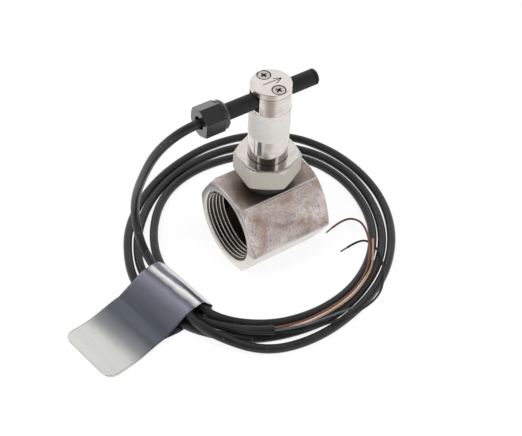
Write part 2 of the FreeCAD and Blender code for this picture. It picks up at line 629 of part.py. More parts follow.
def build_blade():
    """Sheet blade with rounded corners, and its rivets."""
    body = new_body("paddle_blade", z=PIVOT)
    face = new_sketch(body, "blade_face", "YZ_Plane", "-blade_offset")
    half = "blade_width / 2"
    add_outline(face, [
        (f"-{half}", f"-{BLADE_BOTTOM}"), (half, f"-{BLADE_BOTTOM}"),
        (half, f"-{BLADE_TOP}"), (f"-{half}", f"-{BLADE_TOP}"),
    ])
    pad = extrude(body, "blade_sheet", face, "blade_thickness", reverse=True)
    corners = []
    for number, edge in enumerate(pad.Shape.Edges, start=1):
        along = edge.tangentAt(edge.FirstParameter)
        if abs(abs(along.x) - 1) < SAME_LENGTH:
            corners.append(f"Edge{number}")
    fillet = body.newObject("PartDesign::Fillet", "blade_corners")
    fillet.Base = (pad, corners)
    fillet.setExpression("Radius", full("blade_corner"))
    document.recompute()
    cut_rivet_holes(body)

    rivets = new_body("blade_rivets", z=PIVOT)
    radius = "rivet_d / 2"
    head = "rivet_head_d / 2"
    left = "-blade_offset - blade_thickness"
    right = "lever_d / 2"
    for name, drop in (("upper", UPPER_RIVET), ("lower", LOWER_RIVET)):
        stations = [
            (f"{left} - rivet_head", "0"), (f"{left} - rivet_head", head), (left, head),
            (left, radius), (right, radius), (right, head),
            (f"{right} + rivet_head", head), (f"{right} + rivet_head", "0"),
        ]
        sketch = new_sketch(rivets, f"{name}_rivet_profile", "XZ_Plane")
        sketch.setExpression("AttachmentOffset.Base.y", full(f"-{drop}"))
        add_outline(sketch, stations)
        turned = rivets.newObject("PartDesign::Revolution", f"{name}_rivet")
        turned.Profile = sketch
        turned.ReferenceAxis = (sketch, ["H_Axis"])
        turned.Angle = 360
        document.recompute()


def build_return_magnet():
    """Fixed magnet in the chamber wall, upstream of the lever's magnet."""
    body = new_body("return_magnet", z=f"{PIVOT} + {MAGNET_MIDDLE}")
    outer = f"({CHAMBER} / 2 + {POCKET_DEPTH} - return_magnet_gap)"
    corners = ring_corners(
        "0", "return_magnet_d / 2", f"-{outer}", f"-{outer} + return_magnet_height", False
    )
    revolve(body, "return_magnet_disc", corners, "H_Axis")


def build_seal():
    """Flat gasket between the tee and the stem's collar."""
    inner = "stem_thread_d / 2 + seal_gap"
    turned_ring("stem_gasket", inner, f"{COLLAR} / 2", "0", "seal_thickness", z=TEE_FLATS)


def build_reed_tube():
    """Tube with plug, holder, capsule, reeds, wires and sealing compound."""
    turned_ring(
        "reed_tube", f"{TUBE_BORE} / 2", "tube_d / 2", "tube_left", "tube_right",
        "H_Axis", z=TUBE_AXIS,
    )
    plug = new_body("tube_end_plug", z=TUBE_AXIS)
    stub = f"{TUBE_BORE} / 2 - plug_gap"
    neck = "tube_d / 2 - plug_neck_depth"
    revolve(plug, "plug_turned", [
        ("tube_right - plug_stub", "0"), ("tube_right - plug_stub", stub), ("tube_right", stub),
        ("tube_right", neck), ("tube_right + plug_neck", neck),
        ("tube_right + plug_neck", "tube_d / 2"), (f"{TUBE_END} - plug_edge", "tube_d / 2"),
        (TUBE_END, "tube_d / 2 - plug_edge"), (TUBE_END, "0"),
    ], "H_Axis")
    potting_end = f"{POTTING_LEFT} + potting_length"
    turned_ring("potting_plug", "0", stub, POTTING_LEFT, potting_end, "H_Axis", z=TUBE_AXIS)
    holder = new_body("switch_holder", z=TUBE_AXIS)
    rod = ring_corners("0", f"{HOLDER} / 2", HOLDER_LEFT, HOLDER_RIGHT, False)
    revolve(holder, "holder_rod", rod, "H_Axis")
    upper = new_sketch(holder, "holder_upper_half", "YZ_Plane", HOLDER_LEFT)
    add_outline(upper, [
        (f"-{HOLDER}", "-holder_flat"), (HOLDER, "-holder_flat"),
        (HOLDER, HOLDER), (f"-{HOLDER}", HOLDER),
    ])
    length = f"{HOLDER_RIGHT} - {HOLDER_LEFT}"
    extrude(holder, "holder_flat_cut", upper, length, cut=True, reverse=True)
    groove = new_sketch(holder, "holder_groove", "YZ_Plane")
    add_circle(groove, "capsule_d + 2 * capsule_gap")
    extrude(holder, "holder_groove_cut", groove, f"3 * ({length})", cut=True, both_ways=True)

    capsule = new_body("reed_capsule", z=TUBE_AXIS)
    half = "capsule_length / 2"
    outside = "capsule_d / 2"
    revolve(capsule, "capsule_glass", [
        (f"-{half}", "0"), (f"-{half}", f"{outside} - capsule_edge"),
        (f"capsule_edge - {half}", outside), (f"{half} - capsule_edge", outside),
        (half, f"{outside} - capsule_edge"), (half, "0"),
    ], "H_Axis")
    hollow = f"{half} - capsule_end"
    inside = "capsule_d / 2 - capsule_wall"
    space = ring_corners("0", inside, f"-({hollow})", hollow, False)
    revolve(capsule, "capsule_hollow", space, "H_Axis", cut=True)

    reeds = new_body("contact_reeds", z=TUBE_AXIS)
    for name, ends, low in (
        ("left", (f"-{half}", "reed_overlap / 2"), "reed_split / 2"),
        ("right", ("-reed_overlap / 2", half), "-reed_split / 2 - reed_thickness"),
    ):
        side = new_sketch(reeds, f"{name}_reed_side", "XZ_Plane")
        high = f"{low} + reed_thickness"
        add_outline(side, [(ends[0], low), (ends[1], low), (ends[1], high), (ends[0], high)])
        extrude(reeds, f"{name}_reed", side, "reed_width", both_ways=True)


def build_gland():
    """Gland nut, turned from hexagon bar, and its grommet."""
    body = new_body("gland_nut", z=TUBE_AXIS)
    section = new_sketch(body, "gland_section", "YZ_Plane", GLAND_LEFT)
    add_outline(section, hexagon("gland_flats", "gland_turn"))
    extrude(body, "gland_hexagon", section, "gland_hex")
    hex_end = f"({GLAND_LEFT} + gland_hex)"
    shoulder = "gland_flats / 2 + gland_shoulder_rise"
    nose = "(gland_shoulder / 2)"
    tip = f"{hex_end} + gland_shoulder"
    revolve(body, "gland_shoulder_turned", [
        (f"{hex_end} - overcut", "0"), (f"{hex_end} - overcut", shoulder),
        (f"{hex_end} + {nose}", shoulder), (f"{tip} - gland_nose", f"{shoulder} - {nose} / 2"),
        (tip, f"{shoulder} - {nose}"), (tip, "0"),
    ], "H_Axis")
    corner = "(gland_flats / 2 / cos(30))"
    for name, face, away in (
        ("gland_outer_chamfer", GLAND_LEFT, "gland_chamfer"),
        ("gland_inner_chamfer", hex_end, "-gland_chamfer"),
    ):
        revolve(body, name, [
            (face, "gland_flats / 2 + gland_face_rise"), (face, f"{corner} + overcut"),
            (f"{face} + {away}", f"{corner} + overcut"), (f"{face} + {away}", corner),
        ], "H_Axis", cut=True)
    inner_wall = f"{GLAND_LEFT} + gland_wall"
    hole = "cable_d / 2 + gland_hole_gap"
    pocket = f"{GROMMET} + grommet_pocket_gap"
    pocket_end = "tube_left - grommet_room / 2"
    bore = "tube_d / 2 + gland_play"
    revolve(body, "gland_bore", [
        (GLAND_LEFT, "0"), (GLAND_LEFT, f"{hole} + gland_hole_edge"),
        (f"{GLAND_LEFT} + gland_hole_edge", hole), (inner_wall, hole),
        (inner_wall, pocket), (pocket_end, pocket), (pocket_end, bore), (tip, bore), (tip, "0"),
    ], "H_Axis", cut=True)
    turned_ring(
        "gland_grommet", "cable_d / 2 + grommet_gap", GROMMET,
        f"{inner_wall} + stack_gap", "tube_left - grommet_room", "H_Axis", z=TUBE_AXIS,
    )


def rounded_path(points, report):
    """Straight runs joined by tangent arcs, as a wire, with its length and least radius."""
    edges = []
    start = points[0]
    radii = []
    for index in range(1, len(points) - 1):
        before, corner, after = points[index - 1], points[index], points[index + 1]
        back = before.sub(corner)
        ahead = after.sub(corner)
        setback = ARC_SHARE * min(back.Length, ahead.Length)
        back.normalize()
        ahead.normalize()
        enter = corner.add(back.multiply(setback))
        leave = corner.add(ahead.multiply(setback))
        back.normalize()
        ahead.normalize()
        half_turn = (math.pi - back.getAngle(ahead)) / 2
        radius = setback / math.tan(half_turn)
        radii.append(radius)
        bisector = back.add(ahead)
        bisector.normalize()
        middle = corner.add(bisector.multiply(radius / math.cos(half_turn) - radius))
        edges.append(Part.LineSegment(start, enter).toShape())
        edges.append(Part.Arc(enter, middle, leave).toShape())
        start = leave
    edges.append(Part.LineSegment(start, points[-1]).toShape())
    path = Part.Wire(edges)
    print(report, "radii", [round(radius, 1) for radius in radii], "length", round(path.Length, 1))
    return path


def add_feature(name, shape):
    """Keep a shape as a sub-part of its own."""
    feature = document.addObject("Part::Feature", name)
    feature.Label = name
    feature.Shape = shape
    return feature


def sweep_tube(name, points, diameter):
    """A round solid along a rounded path, with its volume compared."""
    path = rounded_path([Vector(*point) for point in points], name)
    first = path.Edges[0]
    direction = first.tangentAt(first.FirstParameter)
    circle = Part.Wire(Part.Circle(Vector(*points[0]), direction, diameter / 2).toShape())
    tube = path.makePipeShell([circle], True, False)
    section = math.pi * diameter ** 2 / 4
    print(name, "volume ratio", round(tube.Volume / (section * path.Length), 4))
    return tube


def build_wires():
    """Two switch wires from the capsule's ends to the cable."""
    axis = value(TUBE_AXIS)
    end = value("capsule_length / 2 + wire_gap")
    cable_end = LEAD_ROUTE[0][0]
    side = value(f"{TUBE_BORE} / 2 - wire_d")
    above = value("reed_thickness")
    diameter = value("wire_d")
    near = [(-end, 0, axis + above), (cable_end, 0, axis + above)]
    half_way = (end + value(HOLDER_RIGHT)) / 2
    far = [
        (end, 0, axis - above), (half_way, 0, axis - above + diameter),
        (half_way, side, axis + diameter), (-end, side, axis + diameter),
        (cable_end, side / 2, axis + diameter),
    ]
    direct = Part.makeCylinder(
        diameter / 2, near[0][0] - near[1][0], Vector(*near[1]), Vector(1, 0, 0)
    )
    bent = sweep_tube("switch_wires", far, diameter)
    add_feature("switch_wires", Part.makeCompound([direct, bent]))


def build_cable():
    """Lead, coil, tail, cores and their tinned tips."""
    add_feature("cable_lead", sweep_tube("cable_lead", LEAD_ROUTE, value("cable_d")))
    add_feature("cable_tail", sweep_tube("cable_tail", TAIL_ROUTE, value("cable_d")))
    tips = []
    for name, route in CORE_ROUTES.items():
        add_feature(name, sweep_tube(name, route, value("core_d")))
        if name in TINNED_CORES:
            end = Vector(*route[-1])
            direction = end.sub(Vector(*route[-2]))
            direction.z = 0
            tips.append(Part.makeCylinder(value("tip_d") / 2, value("tip_length"), end, direction))
    add_feature("core_tips", Part.makeCompound(tips))

    coil = new_body("cable_coil")
    section = new_sketch(coil, "coil_section", "XY_Plane", COIL_BOTTOM)
    add_circle(section, f"2 * {COIL_OUTER}", "coil_shift_x", "coil_shift_y")
    add_circle(section, "2 * coil_inner")
    pad = extrude(coil, "coil_layer", section, f"{COIL_TOP} - {COIL_BOTTOM}")
    rims = [
        f"Edge{number}" for number, edge in enumerate(pad.Shape.Edges, start=1)
        if isinstance(edge.Curve, Part.Circle)
    ]
    fillet = coil.newObject("PartDesign::Fillet", "coil_rims")
    fillet.Base = (pad, rims)
    fillet.setExpression("Radius", full("coil_round"))
    document.recompute()


def build_flag():
    """Foil label folded round the coil, with its two layers stuck together outside."""
    body = new_body("flag_label")
    body.setExpression("Placement.Rotation.Angle", full("flag_angle"))
    body.Placement.Rotation.Axis = Vector(0, 0, 1)
    crown_in = "flag_lead_r - flag_lead_half"
    crown_out = "flag_lead_r + flag_lead_half"
    revolve(body, "flag_loop", [
        (FLAG_INNER, "floor_gap"), (FLAG_OUTER, "floor_gap"), (FLAG_OUTER, FLAG_SIDE),
        (crown_out, "flag_crown"), (crown_in, "flag_crown"), (FLAG_INNER, FLAG_SIDE),
    ], "V_Axis", angle=FLAG_SPREAD)
    inner = f"{FLAG_INNER} + flag_wall"
    outer = f"{FLAG_OUTER} - flag_wall"
    floor = "floor_gap + flag_wall"
    side = f"{FLAG_SIDE} - flag_wall"
    crown = "flag_crown - flag_wall"
    revolve(body, "flag_hollow", [
        (inner, floor), (outer, floor), (outer, side),
        (crown_out, crown), (crown_in, crown), (inner, side),
    ], "V_Axis", cut=True)
    outline = new_sketch(body, "flag_outline", "XY_Plane", "floor_gap")
    half = "flag_width / 2"
    start = f"{FLAG_OUTER} * cos({FLAG_SPREAD} / 2)"
    reach = f"{FLAG_OUTER} + flag_leaf_length"
    add_outline(outline, [
        (start, f"-{half}"), (f"{reach} - flag_corner", f"-{half}"),
        (reach, f"flag_corner - {half}"), (reach, f"{half} - flag_corner"),
        (f"{reach} - flag_corner", half), (start, half),
    ])
    extrude(body, "flag_leaf", outline, "flag_plate")


def collect_parts():
    """Every sub-part by its label."""
    parts = {}
    for item in document.Objects:
        if item.TypeId == "PartDesign::Body" or item.TypeId == "Part::Feature":
            parts[item.Label] = item
    return parts


def check_document():
    """Stop on a failed object or on a null or broken shape."""
    document.recompute()
    for item in document.Objects:
        if "Invalid" in item.State or "Error" in item.State:
            raise RuntimeError(f"{item.Name} failed: {item.State}")
    for label, item in collect_parts().items():
        if item.Shape.isNull() or not item.Shape.isValid() or not item.Shape.Solids:
            raise RuntimeError(f"{label} has no valid solid")


def write_parts():
    """Write each sub-part to its own STEP file."""
    os.makedirs("parts", exist_ok=True)
    for label, item in collect_parts().items():
        item.Shape.exportStep(f"parts/{label}.step")
        box = item.Shape.optimalBoundingBox(False)
        print(f"{label:16s} solids {len(item.Shape.Solids)} volume {item.Shape.Volume:10.1f} "
              f"x {box.XMin:7.1f} {box.XMax:7.1f} y {box.YMin:7.1f} {box.YMax:7.1f} "
              f"z {box.ZMin:6.1f} {box.ZMax:6.1f}")


build_tee()
build_seal()
build_stem()
build_cap()
build_label()
build_pivot()
build_lever()
build_blade()
build_return_magnet()
build_reed_tube()
build_gland()
build_wires()
build_cable()
build_flag()
check_document()
write_parts()
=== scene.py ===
"""Looks of a paddle flow switch: a hexagonal tee with a slotted stem, in its cable's coil."""

from __future__ import annotations

import json
import logging
import math
from dataclasses import dataclass, field
from enum import Enum

import bmesh
import bpy
from mathutils import Matrix, Vector

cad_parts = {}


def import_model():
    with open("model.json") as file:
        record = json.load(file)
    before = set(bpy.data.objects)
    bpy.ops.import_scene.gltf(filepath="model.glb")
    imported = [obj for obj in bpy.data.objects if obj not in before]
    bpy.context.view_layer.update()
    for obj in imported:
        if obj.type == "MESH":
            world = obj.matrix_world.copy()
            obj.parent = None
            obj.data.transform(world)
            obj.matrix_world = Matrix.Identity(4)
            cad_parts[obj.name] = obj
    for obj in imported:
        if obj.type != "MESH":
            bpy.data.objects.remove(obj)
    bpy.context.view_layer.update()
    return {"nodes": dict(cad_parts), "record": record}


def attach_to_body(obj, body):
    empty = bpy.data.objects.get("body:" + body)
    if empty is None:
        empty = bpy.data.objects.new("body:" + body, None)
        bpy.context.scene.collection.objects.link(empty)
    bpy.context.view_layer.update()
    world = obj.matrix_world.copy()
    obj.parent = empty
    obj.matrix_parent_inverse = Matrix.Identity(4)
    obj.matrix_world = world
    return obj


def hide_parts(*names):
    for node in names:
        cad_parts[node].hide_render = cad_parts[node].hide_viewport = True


LOG = logging.getLogger("flow_switch")
MM = 0.001
Point = tuple[float, float, float]
Tree = bpy.types.NodeTree
Socket = bpy.types.NodeSocket
Thing = bpy.types.Object
Material = bpy.types.Material
Shape = bmesh.types.BMesh
Finishes = dict[str, Material]
Outline = list[tuple[float, float]]


# ---------------------------------------------------------------- helpers


def linear(code: str) -> tuple[float, float, float, float]:
    """Turns an sRGB hex colour into linear light.

    Args:
        code: the colour, such as "#8A8C90".

    Returns:
        Red, green, blue and an alpha of 1.
    """
    parts = [int(code[i : i + 2], 16) / 255 for i in (1, 3, 5)]
    red, green, blue = [p / 12.92 if p <= 0.04045 else ((p + 0.055) / 1.055) ** 2.4 for p in parts]
    return (red, green, blue, 1.0)


def add(
    tree: Tree, kind: str, sockets: dict[str | int, object] | None = None, **settings: object
) -> bpy.types.Node:
    """Adds a node with its settings, values and links.

    Args:
        tree: the tree that gets the node.
        kind: the node's type name.
        sockets: input name or number, and its socket, constant or sRGB hex colour.
        settings: properties of the node itself.

    Returns:
        The new node.
    """
    node = tree.nodes.new(kind)
    for name, value in settings.items():
        setattr(node, name, value)
    feed(tree, node, sockets or {})
    return node


def calc(tree: Tree, operation: str, *values: object, **settings: object) -> Socket:
    """Adds a math node.

    Args:
        tree: the tree that gets the node.
        operation: what it does, such as MULTIPLY.
        values: its numbers or sockets, in order.
        settings: properties of the node itself.

    Returns:
        The result's socket.
    """
    sockets = dict(enumerate(values))
    return add(tree, "ShaderNodeMath", sockets, operation=operation, **settings).outputs[0]


def tinted(tree: Tree, share: object, first: object, second: object, **settings: object) -> Socket:
    """Adds a mix of two colours.

    Args:
        tree: the tree that gets the node.
        share: how much of the second there is.
        first: the first colour or socket.
        second: the second colour or socket.
        settings: properties of the node itself.

    Returns:
        The result's socket.
    """
    sockets = {0: share, 6: first, 7: second}
    return add(tree, "ShaderNodeMix", sockets, data_type="RGBA", **settings).outputs[2]


def between(tree: Tree, share: object, low: object, high: object) -> Socket:
    """Adds a mix of two numbers.

    Args:
        tree: the tree that gets the node.
        share: how much of the second there is.
        low: the first number or socket.
        high: the second number or socket.

    Returns:
        The result's socket.
    """
    sockets = {0: share, 2: low, 3: high}
    return add(tree, "ShaderNodeMix", sockets, data_type="FLOAT").outputs[0]


def remap(
    tree: Tree, value: object, low: object, high: object, to_low: object = 0.0,
    to_high: object = 1.0, smooth: bool = False
) -> Socket:
    """Maps a value from one range to another.

    Args:
        tree: the tree that gets the node.
        value: the socket to map.
        low: the range's low end.
        high: the range's high end.
        to_low: what the low end becomes.
        to_high: what the high end becomes.
        smooth: whether the ends are eased.

    Returns:
        The result's socket.
    """
    ends = {"From Min": low, "From Max": high, "To Min": to_low, "To Max": to_high}
    step = "SMOOTHSTEP" if smooth else "LINEAR"
    sockets = {"Value": value, **ends}
    return add(tree, "ShaderNodeMapRange", sockets, interpolation_type=step).outputs[0]


def speckle(tree: Tree, where: object, scale: float, detail: float = 2.0, **more: float) -> Socket:
    """Adds a noise texture.

    Args:
        tree: the tree that gets the node.
        where: the socket of the place.
        scale: grains in a metre.
        detail: how many finer layers it has.
        more: other inputs by name.

    Returns:
        The socket of its value.
    """
    sockets = {"Vector": where, "Scale": scale, "Detail": detail, **more}
    return add(tree, "ShaderNodeTexNoise", sockets).outputs["Fac"]


def bumped(tree: Tree, height: object, depth_mm: float, strength: float = 1.0) -> Socket:
    """Adds a bump.

    Args:
        tree: the tree that gets the node.
        height: the socket of the relief.
        depth_mm: how deep the relief is.
        strength: how much of it is used.

    Returns:
        The normal's socket.
    """
    sockets = {"Height": height, "Distance": depth_mm * MM, "Strength": strength}
    return add(tree, "ShaderNodeBump", sockets).outputs[0]


def polar(tree: Tree, where: Socket) -> tuple[bpy.types.NodeOutputs, Socket]:
    """Splits a place.

    Args:
        tree: the tree that gets the nodes.
        where: the socket of the place.

    Returns:
        X, Y and Z as outputs, and the distance from the Z axis.
    """
    split = add(tree, "ShaderNodeSeparateXYZ", {0: where}).outputs
    flat = add(tree, "ShaderNodeCombineXYZ", {0: split["X"], 1: split["Y"]})
    radius = add(tree, "ShaderNodeVectorMath", {0: flat.outputs[0]}, operation="LENGTH")
    return split, radius.outputs["Value"]


def feed(tree: Tree, node: bpy.types.Node, inputs: dict[str | int, object]) -> None:
    """Links or sets a node's inputs.

    Args:
        tree: the node's tree.
        node: the node.
        inputs: input name or number, and its socket, constant or sRGB hex colour.
    """
    for name, value in inputs.items():
        if isinstance(value, Socket):
            tree.links.new(value, node.inputs[name])
        else:
            is_hex = isinstance(value, str) and value.startswith("#")
            node.inputs[name].default_value = linear(value) if is_hex else value


def facing(tree: Tree, way: Socket, direction: tuple[float, ...]) -> Socket:
    """Compares a way with a direction.

    Args:
        tree: the tree that gets the node.
        way: the socket of the way.
        direction: the direction.

    Returns:
        The socket of their dot product.
    """
    both = {0: way, 1: tuple(direction)}
    return add(tree, "ShaderNodeVectorMath", both, operation="DOT_PRODUCT").outputs["Value"]


def attach(thing: Thing, finish: Finishes, slot: str, body: str, *nodes: str) -> None:
    """Gives a piece its finish and its body, and hides the nodes that it stands for.

    Args:
        thing: the piece.
        finish: the material of each slot.
        slot: the slot of its finish.
        body: the body that it rides on.
        nodes: the CAD nodes that it replaces.
    """
    thing.data.materials.clear()
    thing.data.materials.append(finish[slot])
    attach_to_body(thing, body)
    if nodes:
        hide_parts(*nodes)
    LOG.info("%s", thing.name)


def place(name: str, data: bpy.types.ID) -> Thing:
    """Makes an object at the origin for a mesh, curve, lamp or camera.

    Args:
        name: the object's name.
        data: what it shows.

    Returns:
        The object, linked to the scene.
    """
    thing = bpy.data.objects.new(name, data)
    bpy.context.scene.collection.objects.link(thing)
    return thing


def settle(thing: Thing) -> Thing:
    """Applies an object's modifiers to its mesh.

    Args:
        thing: the object.

    Returns:
        The same object with a plain mesh and no modifiers.
    """
    graph = bpy.context.evaluated_depsgraph_get()
    mesh = bpy.data.meshes.new_from_object(thing.evaluated_get(graph))
    thing.modifiers.clear()
    thing.data = mesh
    return thing


def shade(shape: Shape, angle: float) -> None:
    """Shades a shape smooth between its sharp edges.

    Args:
        shape: the bmesh.
        angle: edges sharper than this, in degrees, stay sharp.
    """
    for face in shape.faces:
        face.smooth = True
    for edge in shape.edges:
        edge.smooth = edge.calc_face_angle(0.0) < math.radians(angle)


def solid(name: str, shape: Shape, smooth: float = 35.0) -> Thing:
    """Turns a bmesh into an object with clean normals.

    Args:
        name: the object's name.
        shape: the bmesh, which is freed.
        smooth: the angle in degrees up to which edges are shaded smooth.

    Returns:
        The new object.
    """
    bmesh.ops.remove_doubles(shape, verts=shape.verts, dist=1e-7)
    bmesh.ops.recalc_face_normals(shape, faces=shape.faces)
    shade(shape, smooth)
    mesh = bpy.data.meshes.new(name)
    shape.to_mesh(mesh)
    shape.free()
    return place(name, mesh)


def copy_of(node: str, name: str) -> Thing:
    """Copies a node of the frame and merges its loose triangles.

    Args:
        node: the node's name.
        name: the copy's name.

    Returns:
        The copy.
    """
    shape = bmesh.new()
    shape.from_mesh(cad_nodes[node].data)
    bmesh.ops.remove_doubles(shape, verts=shape.verts, dist=1e-6)
    bmesh.ops.dissolve_limit(
        shape, angle_limit=math.radians(0.6), verts=shape.verts, edges=shape.edges
    )
    return solid(name, shape)


def cut(thing: Thing, cutter: Thing) -> None:
    """Cuts one object's shape out of another and removes the cutter.

    Args:
        thing: what is cut.
        cutter: the shape that is taken away.
    """
    knife = thing.modifiers.new("knife", "BOOLEAN")
    knife.operation = "DIFFERENCE"
    knife.solver = "EXACT"
    knife.object = cutter
    settle(thing)
    bpy.data.objects.remove(cutter)


def crisp(thing: Thing, angle: float = 180.0) -> None:
    """Keeps large faces flat to the light where they meet small roundings.

    Args:
        thing: the object.
        angle: edges sharper than this, in degrees, stay sharp.
    """
    shape = bmesh.new()
    shape.from_mesh(thing.data)
    shade(shape, angle)
    shape.to_mesh(thing.data)
    shape.free()
    weigh = thing.modifiers.new("weigh", "WEIGHTED_NORMAL")
    weigh.mode = "FACE_AREA"
    weigh.weight = 100
    weigh.keep_sharp = True
    settle(thing)


def turned(profile: Outline, steps: int = 64) -> Shape:
    """Spins a closed profile of (radius, height) in millimetres round Z.

    Args:
        profile: the profile's corners, in order.
        steps: faces round the circle.

    Returns:
        The turned solid.
    """
    shape = bmesh.new()
    rings = []
    for radius, height in profile:
        ring = []
        for step in range(steps if radius > 1e-6 else 1):
            angle = math.tau * step / steps
            spot = Vector((radius * math.cos(angle), radius * math.sin(angle), height))
            ring.append(shape.verts.new(spot * MM))
        rings.append(ring)
    for low, high in zip(rings, rings[1:] + rings[:1]):
        if len(low) == 1 and len(high) == 1:
            continue
        for step in range(steps):
            after = (step + 1) % steps
            corners = [low[step % len(low)], low[after % len(low)]]
            corners += [high[after % len(high)], high[step % len(high)]]
            unique = list(dict.fromkeys(corners))
            if len(unique) > 2:
                shape.faces.new(unique)
    return shape


def bar(shape: Shape, start: Point, end: Point, width: float, depth: float) -> None:
    """Adds a square bar between two points at one height, in millimetres.

    Args:
        shape: the bmesh that gets it.
        start: the middle of one end's upper edge.
        end: the middle of the other end's upper edge.
        width: the bar's width.
        depth: how deep it goes below the two points.
    """
    first, last = Vector(start) * MM, Vector(end) * MM
    side = (last - first).cross(Vector((0, 0, 1))).normalized() * width * MM / 2
    down = Vector((0, 0, -depth * MM))
    corners = [first - side, first + side, last + side, last - side]
    top = [shape.verts.new(corner) for corner in corners]
    low = [shape.verts.new(corner + down) for corner in corners]
    shape.faces.new(top)
    shape.faces.new(low[::-1])
    for i in range(4):
        j = (i + 1) % 4
        shape.faces.new((top[j], top[i], low[i], low[j]))


def engrave(thing: Thing, start: Point, end: Point, width: float, depth: float) -> None:
    """Cuts a straight groove into an object, in millimetres.

    Args:
        thing: what is cut.
        start: the middle of one end, above the surface.
        end: the middle of the other end.
        width: the groove's width.
        depth: how far it goes below the two points.
    """
    shape = bmesh.new()
    bar(shape, start, end, width, depth)
    cut(thing, solid("graver", shape))


class Recipe:
    """A Geometry Nodes tree with named inputs, run once into a plain mesh."""

    def __init__(self, name: str) -> None:
        """Starts an empty tree.

        Args:
            name: the tree's name.
        """
        self.tree = bpy.data.node_groups.new(name, "GeometryNodeTree")
        self.values: dict[str, object] = {}
        self.tree.interface.new_socket(
            "Geometry", in_out="OUTPUT", socket_type="NodeSocketGeometry"
        )
        self.tree.interface.new_socket("Geometry", in_out="INPUT", socket_type="NodeSocketGeometry")
        self.entry = self.tree.nodes.new("NodeGroupInput")

    def size(self, name: str, value: object, kind: str = "NodeSocketFloat") -> Socket:
        """Adds a named input.

        Args:
            name: the input's name.
            value: what it is set to.
            kind: its socket type.

        Returns:
            The socket inside the tree that gives the value.
        """
        entry = self.tree.interface.new_socket(name, in_out="INPUT", socket_type=kind)
        self.values[entry.identifier] = value
        return self.entry.outputs[name]

    def run(
        self, name: str, result: Socket, material: Material, base: bpy.types.Mesh | None = None
    ) -> Thing:
        """Ends the tree, runs it on a mesh and keeps the result.

        Args:
            name: the finished object's name.
            result: the geometry to keep.
            material: the finish it gets.
            base: the mesh that goes in, if the tree reads one.

        Returns:
            An object with a plain mesh.
        """
        finish = self.size("Finish", material, "NodeSocketMaterial")
        real = add(self.tree, "GeometryNodeRealizeInstances", {0: result})
        dressed = add(
            self.tree, "GeometryNodeSetMaterial", {"Geometry": real.outputs[0], "Material": finish}
        )
        add(self.tree, "NodeGroupOutput", {0: dressed.outputs[0]})
        thing = place(name, base or bpy.data.meshes.new(name))
        step = thing.modifiers.new("recipe", "NODES")
        step.node_group = self.tree
        for identifier, value in self.values.items():
            step[identifier] = value
        settle(thing)
        return thing


# ---------------------------------------------------------------- finishes


class Lay(Enum):
    """Which way the tool marks of a metal run."""

    TURNED_Z = "rings round the stem's axis"
    TURNED_X = "rings round the pipe's axis"
    DRAWN_X = "lines along the pipe's axis"
    ROLLED = "no direction"


@dataclass(frozen=True)
class Finish:
    """A real material that a piece is made of or covered with."""

    name: str

    def looks(self, tree: Tree, where: Socket) -> dict[str, object]:
        """Draws the surface.

        Args:
            tree: the material's tree.
            where: the object's coordinates.

        Returns:
            The shader's inputs.
        """
        raise NotImplementedError

    def build(self) -> Material:
        """Builds the material.

        Returns:
            The material.
        """
        material = bpy.data.materials.new(self.name)
        material.use_nodes = True
        tree = material.node_tree
        where = add(tree, "ShaderNodeTexCoord").outputs["Object"]
        feed(tree, tree.nodes["Principled BSDF"], self.looks(tree, where))
        return material


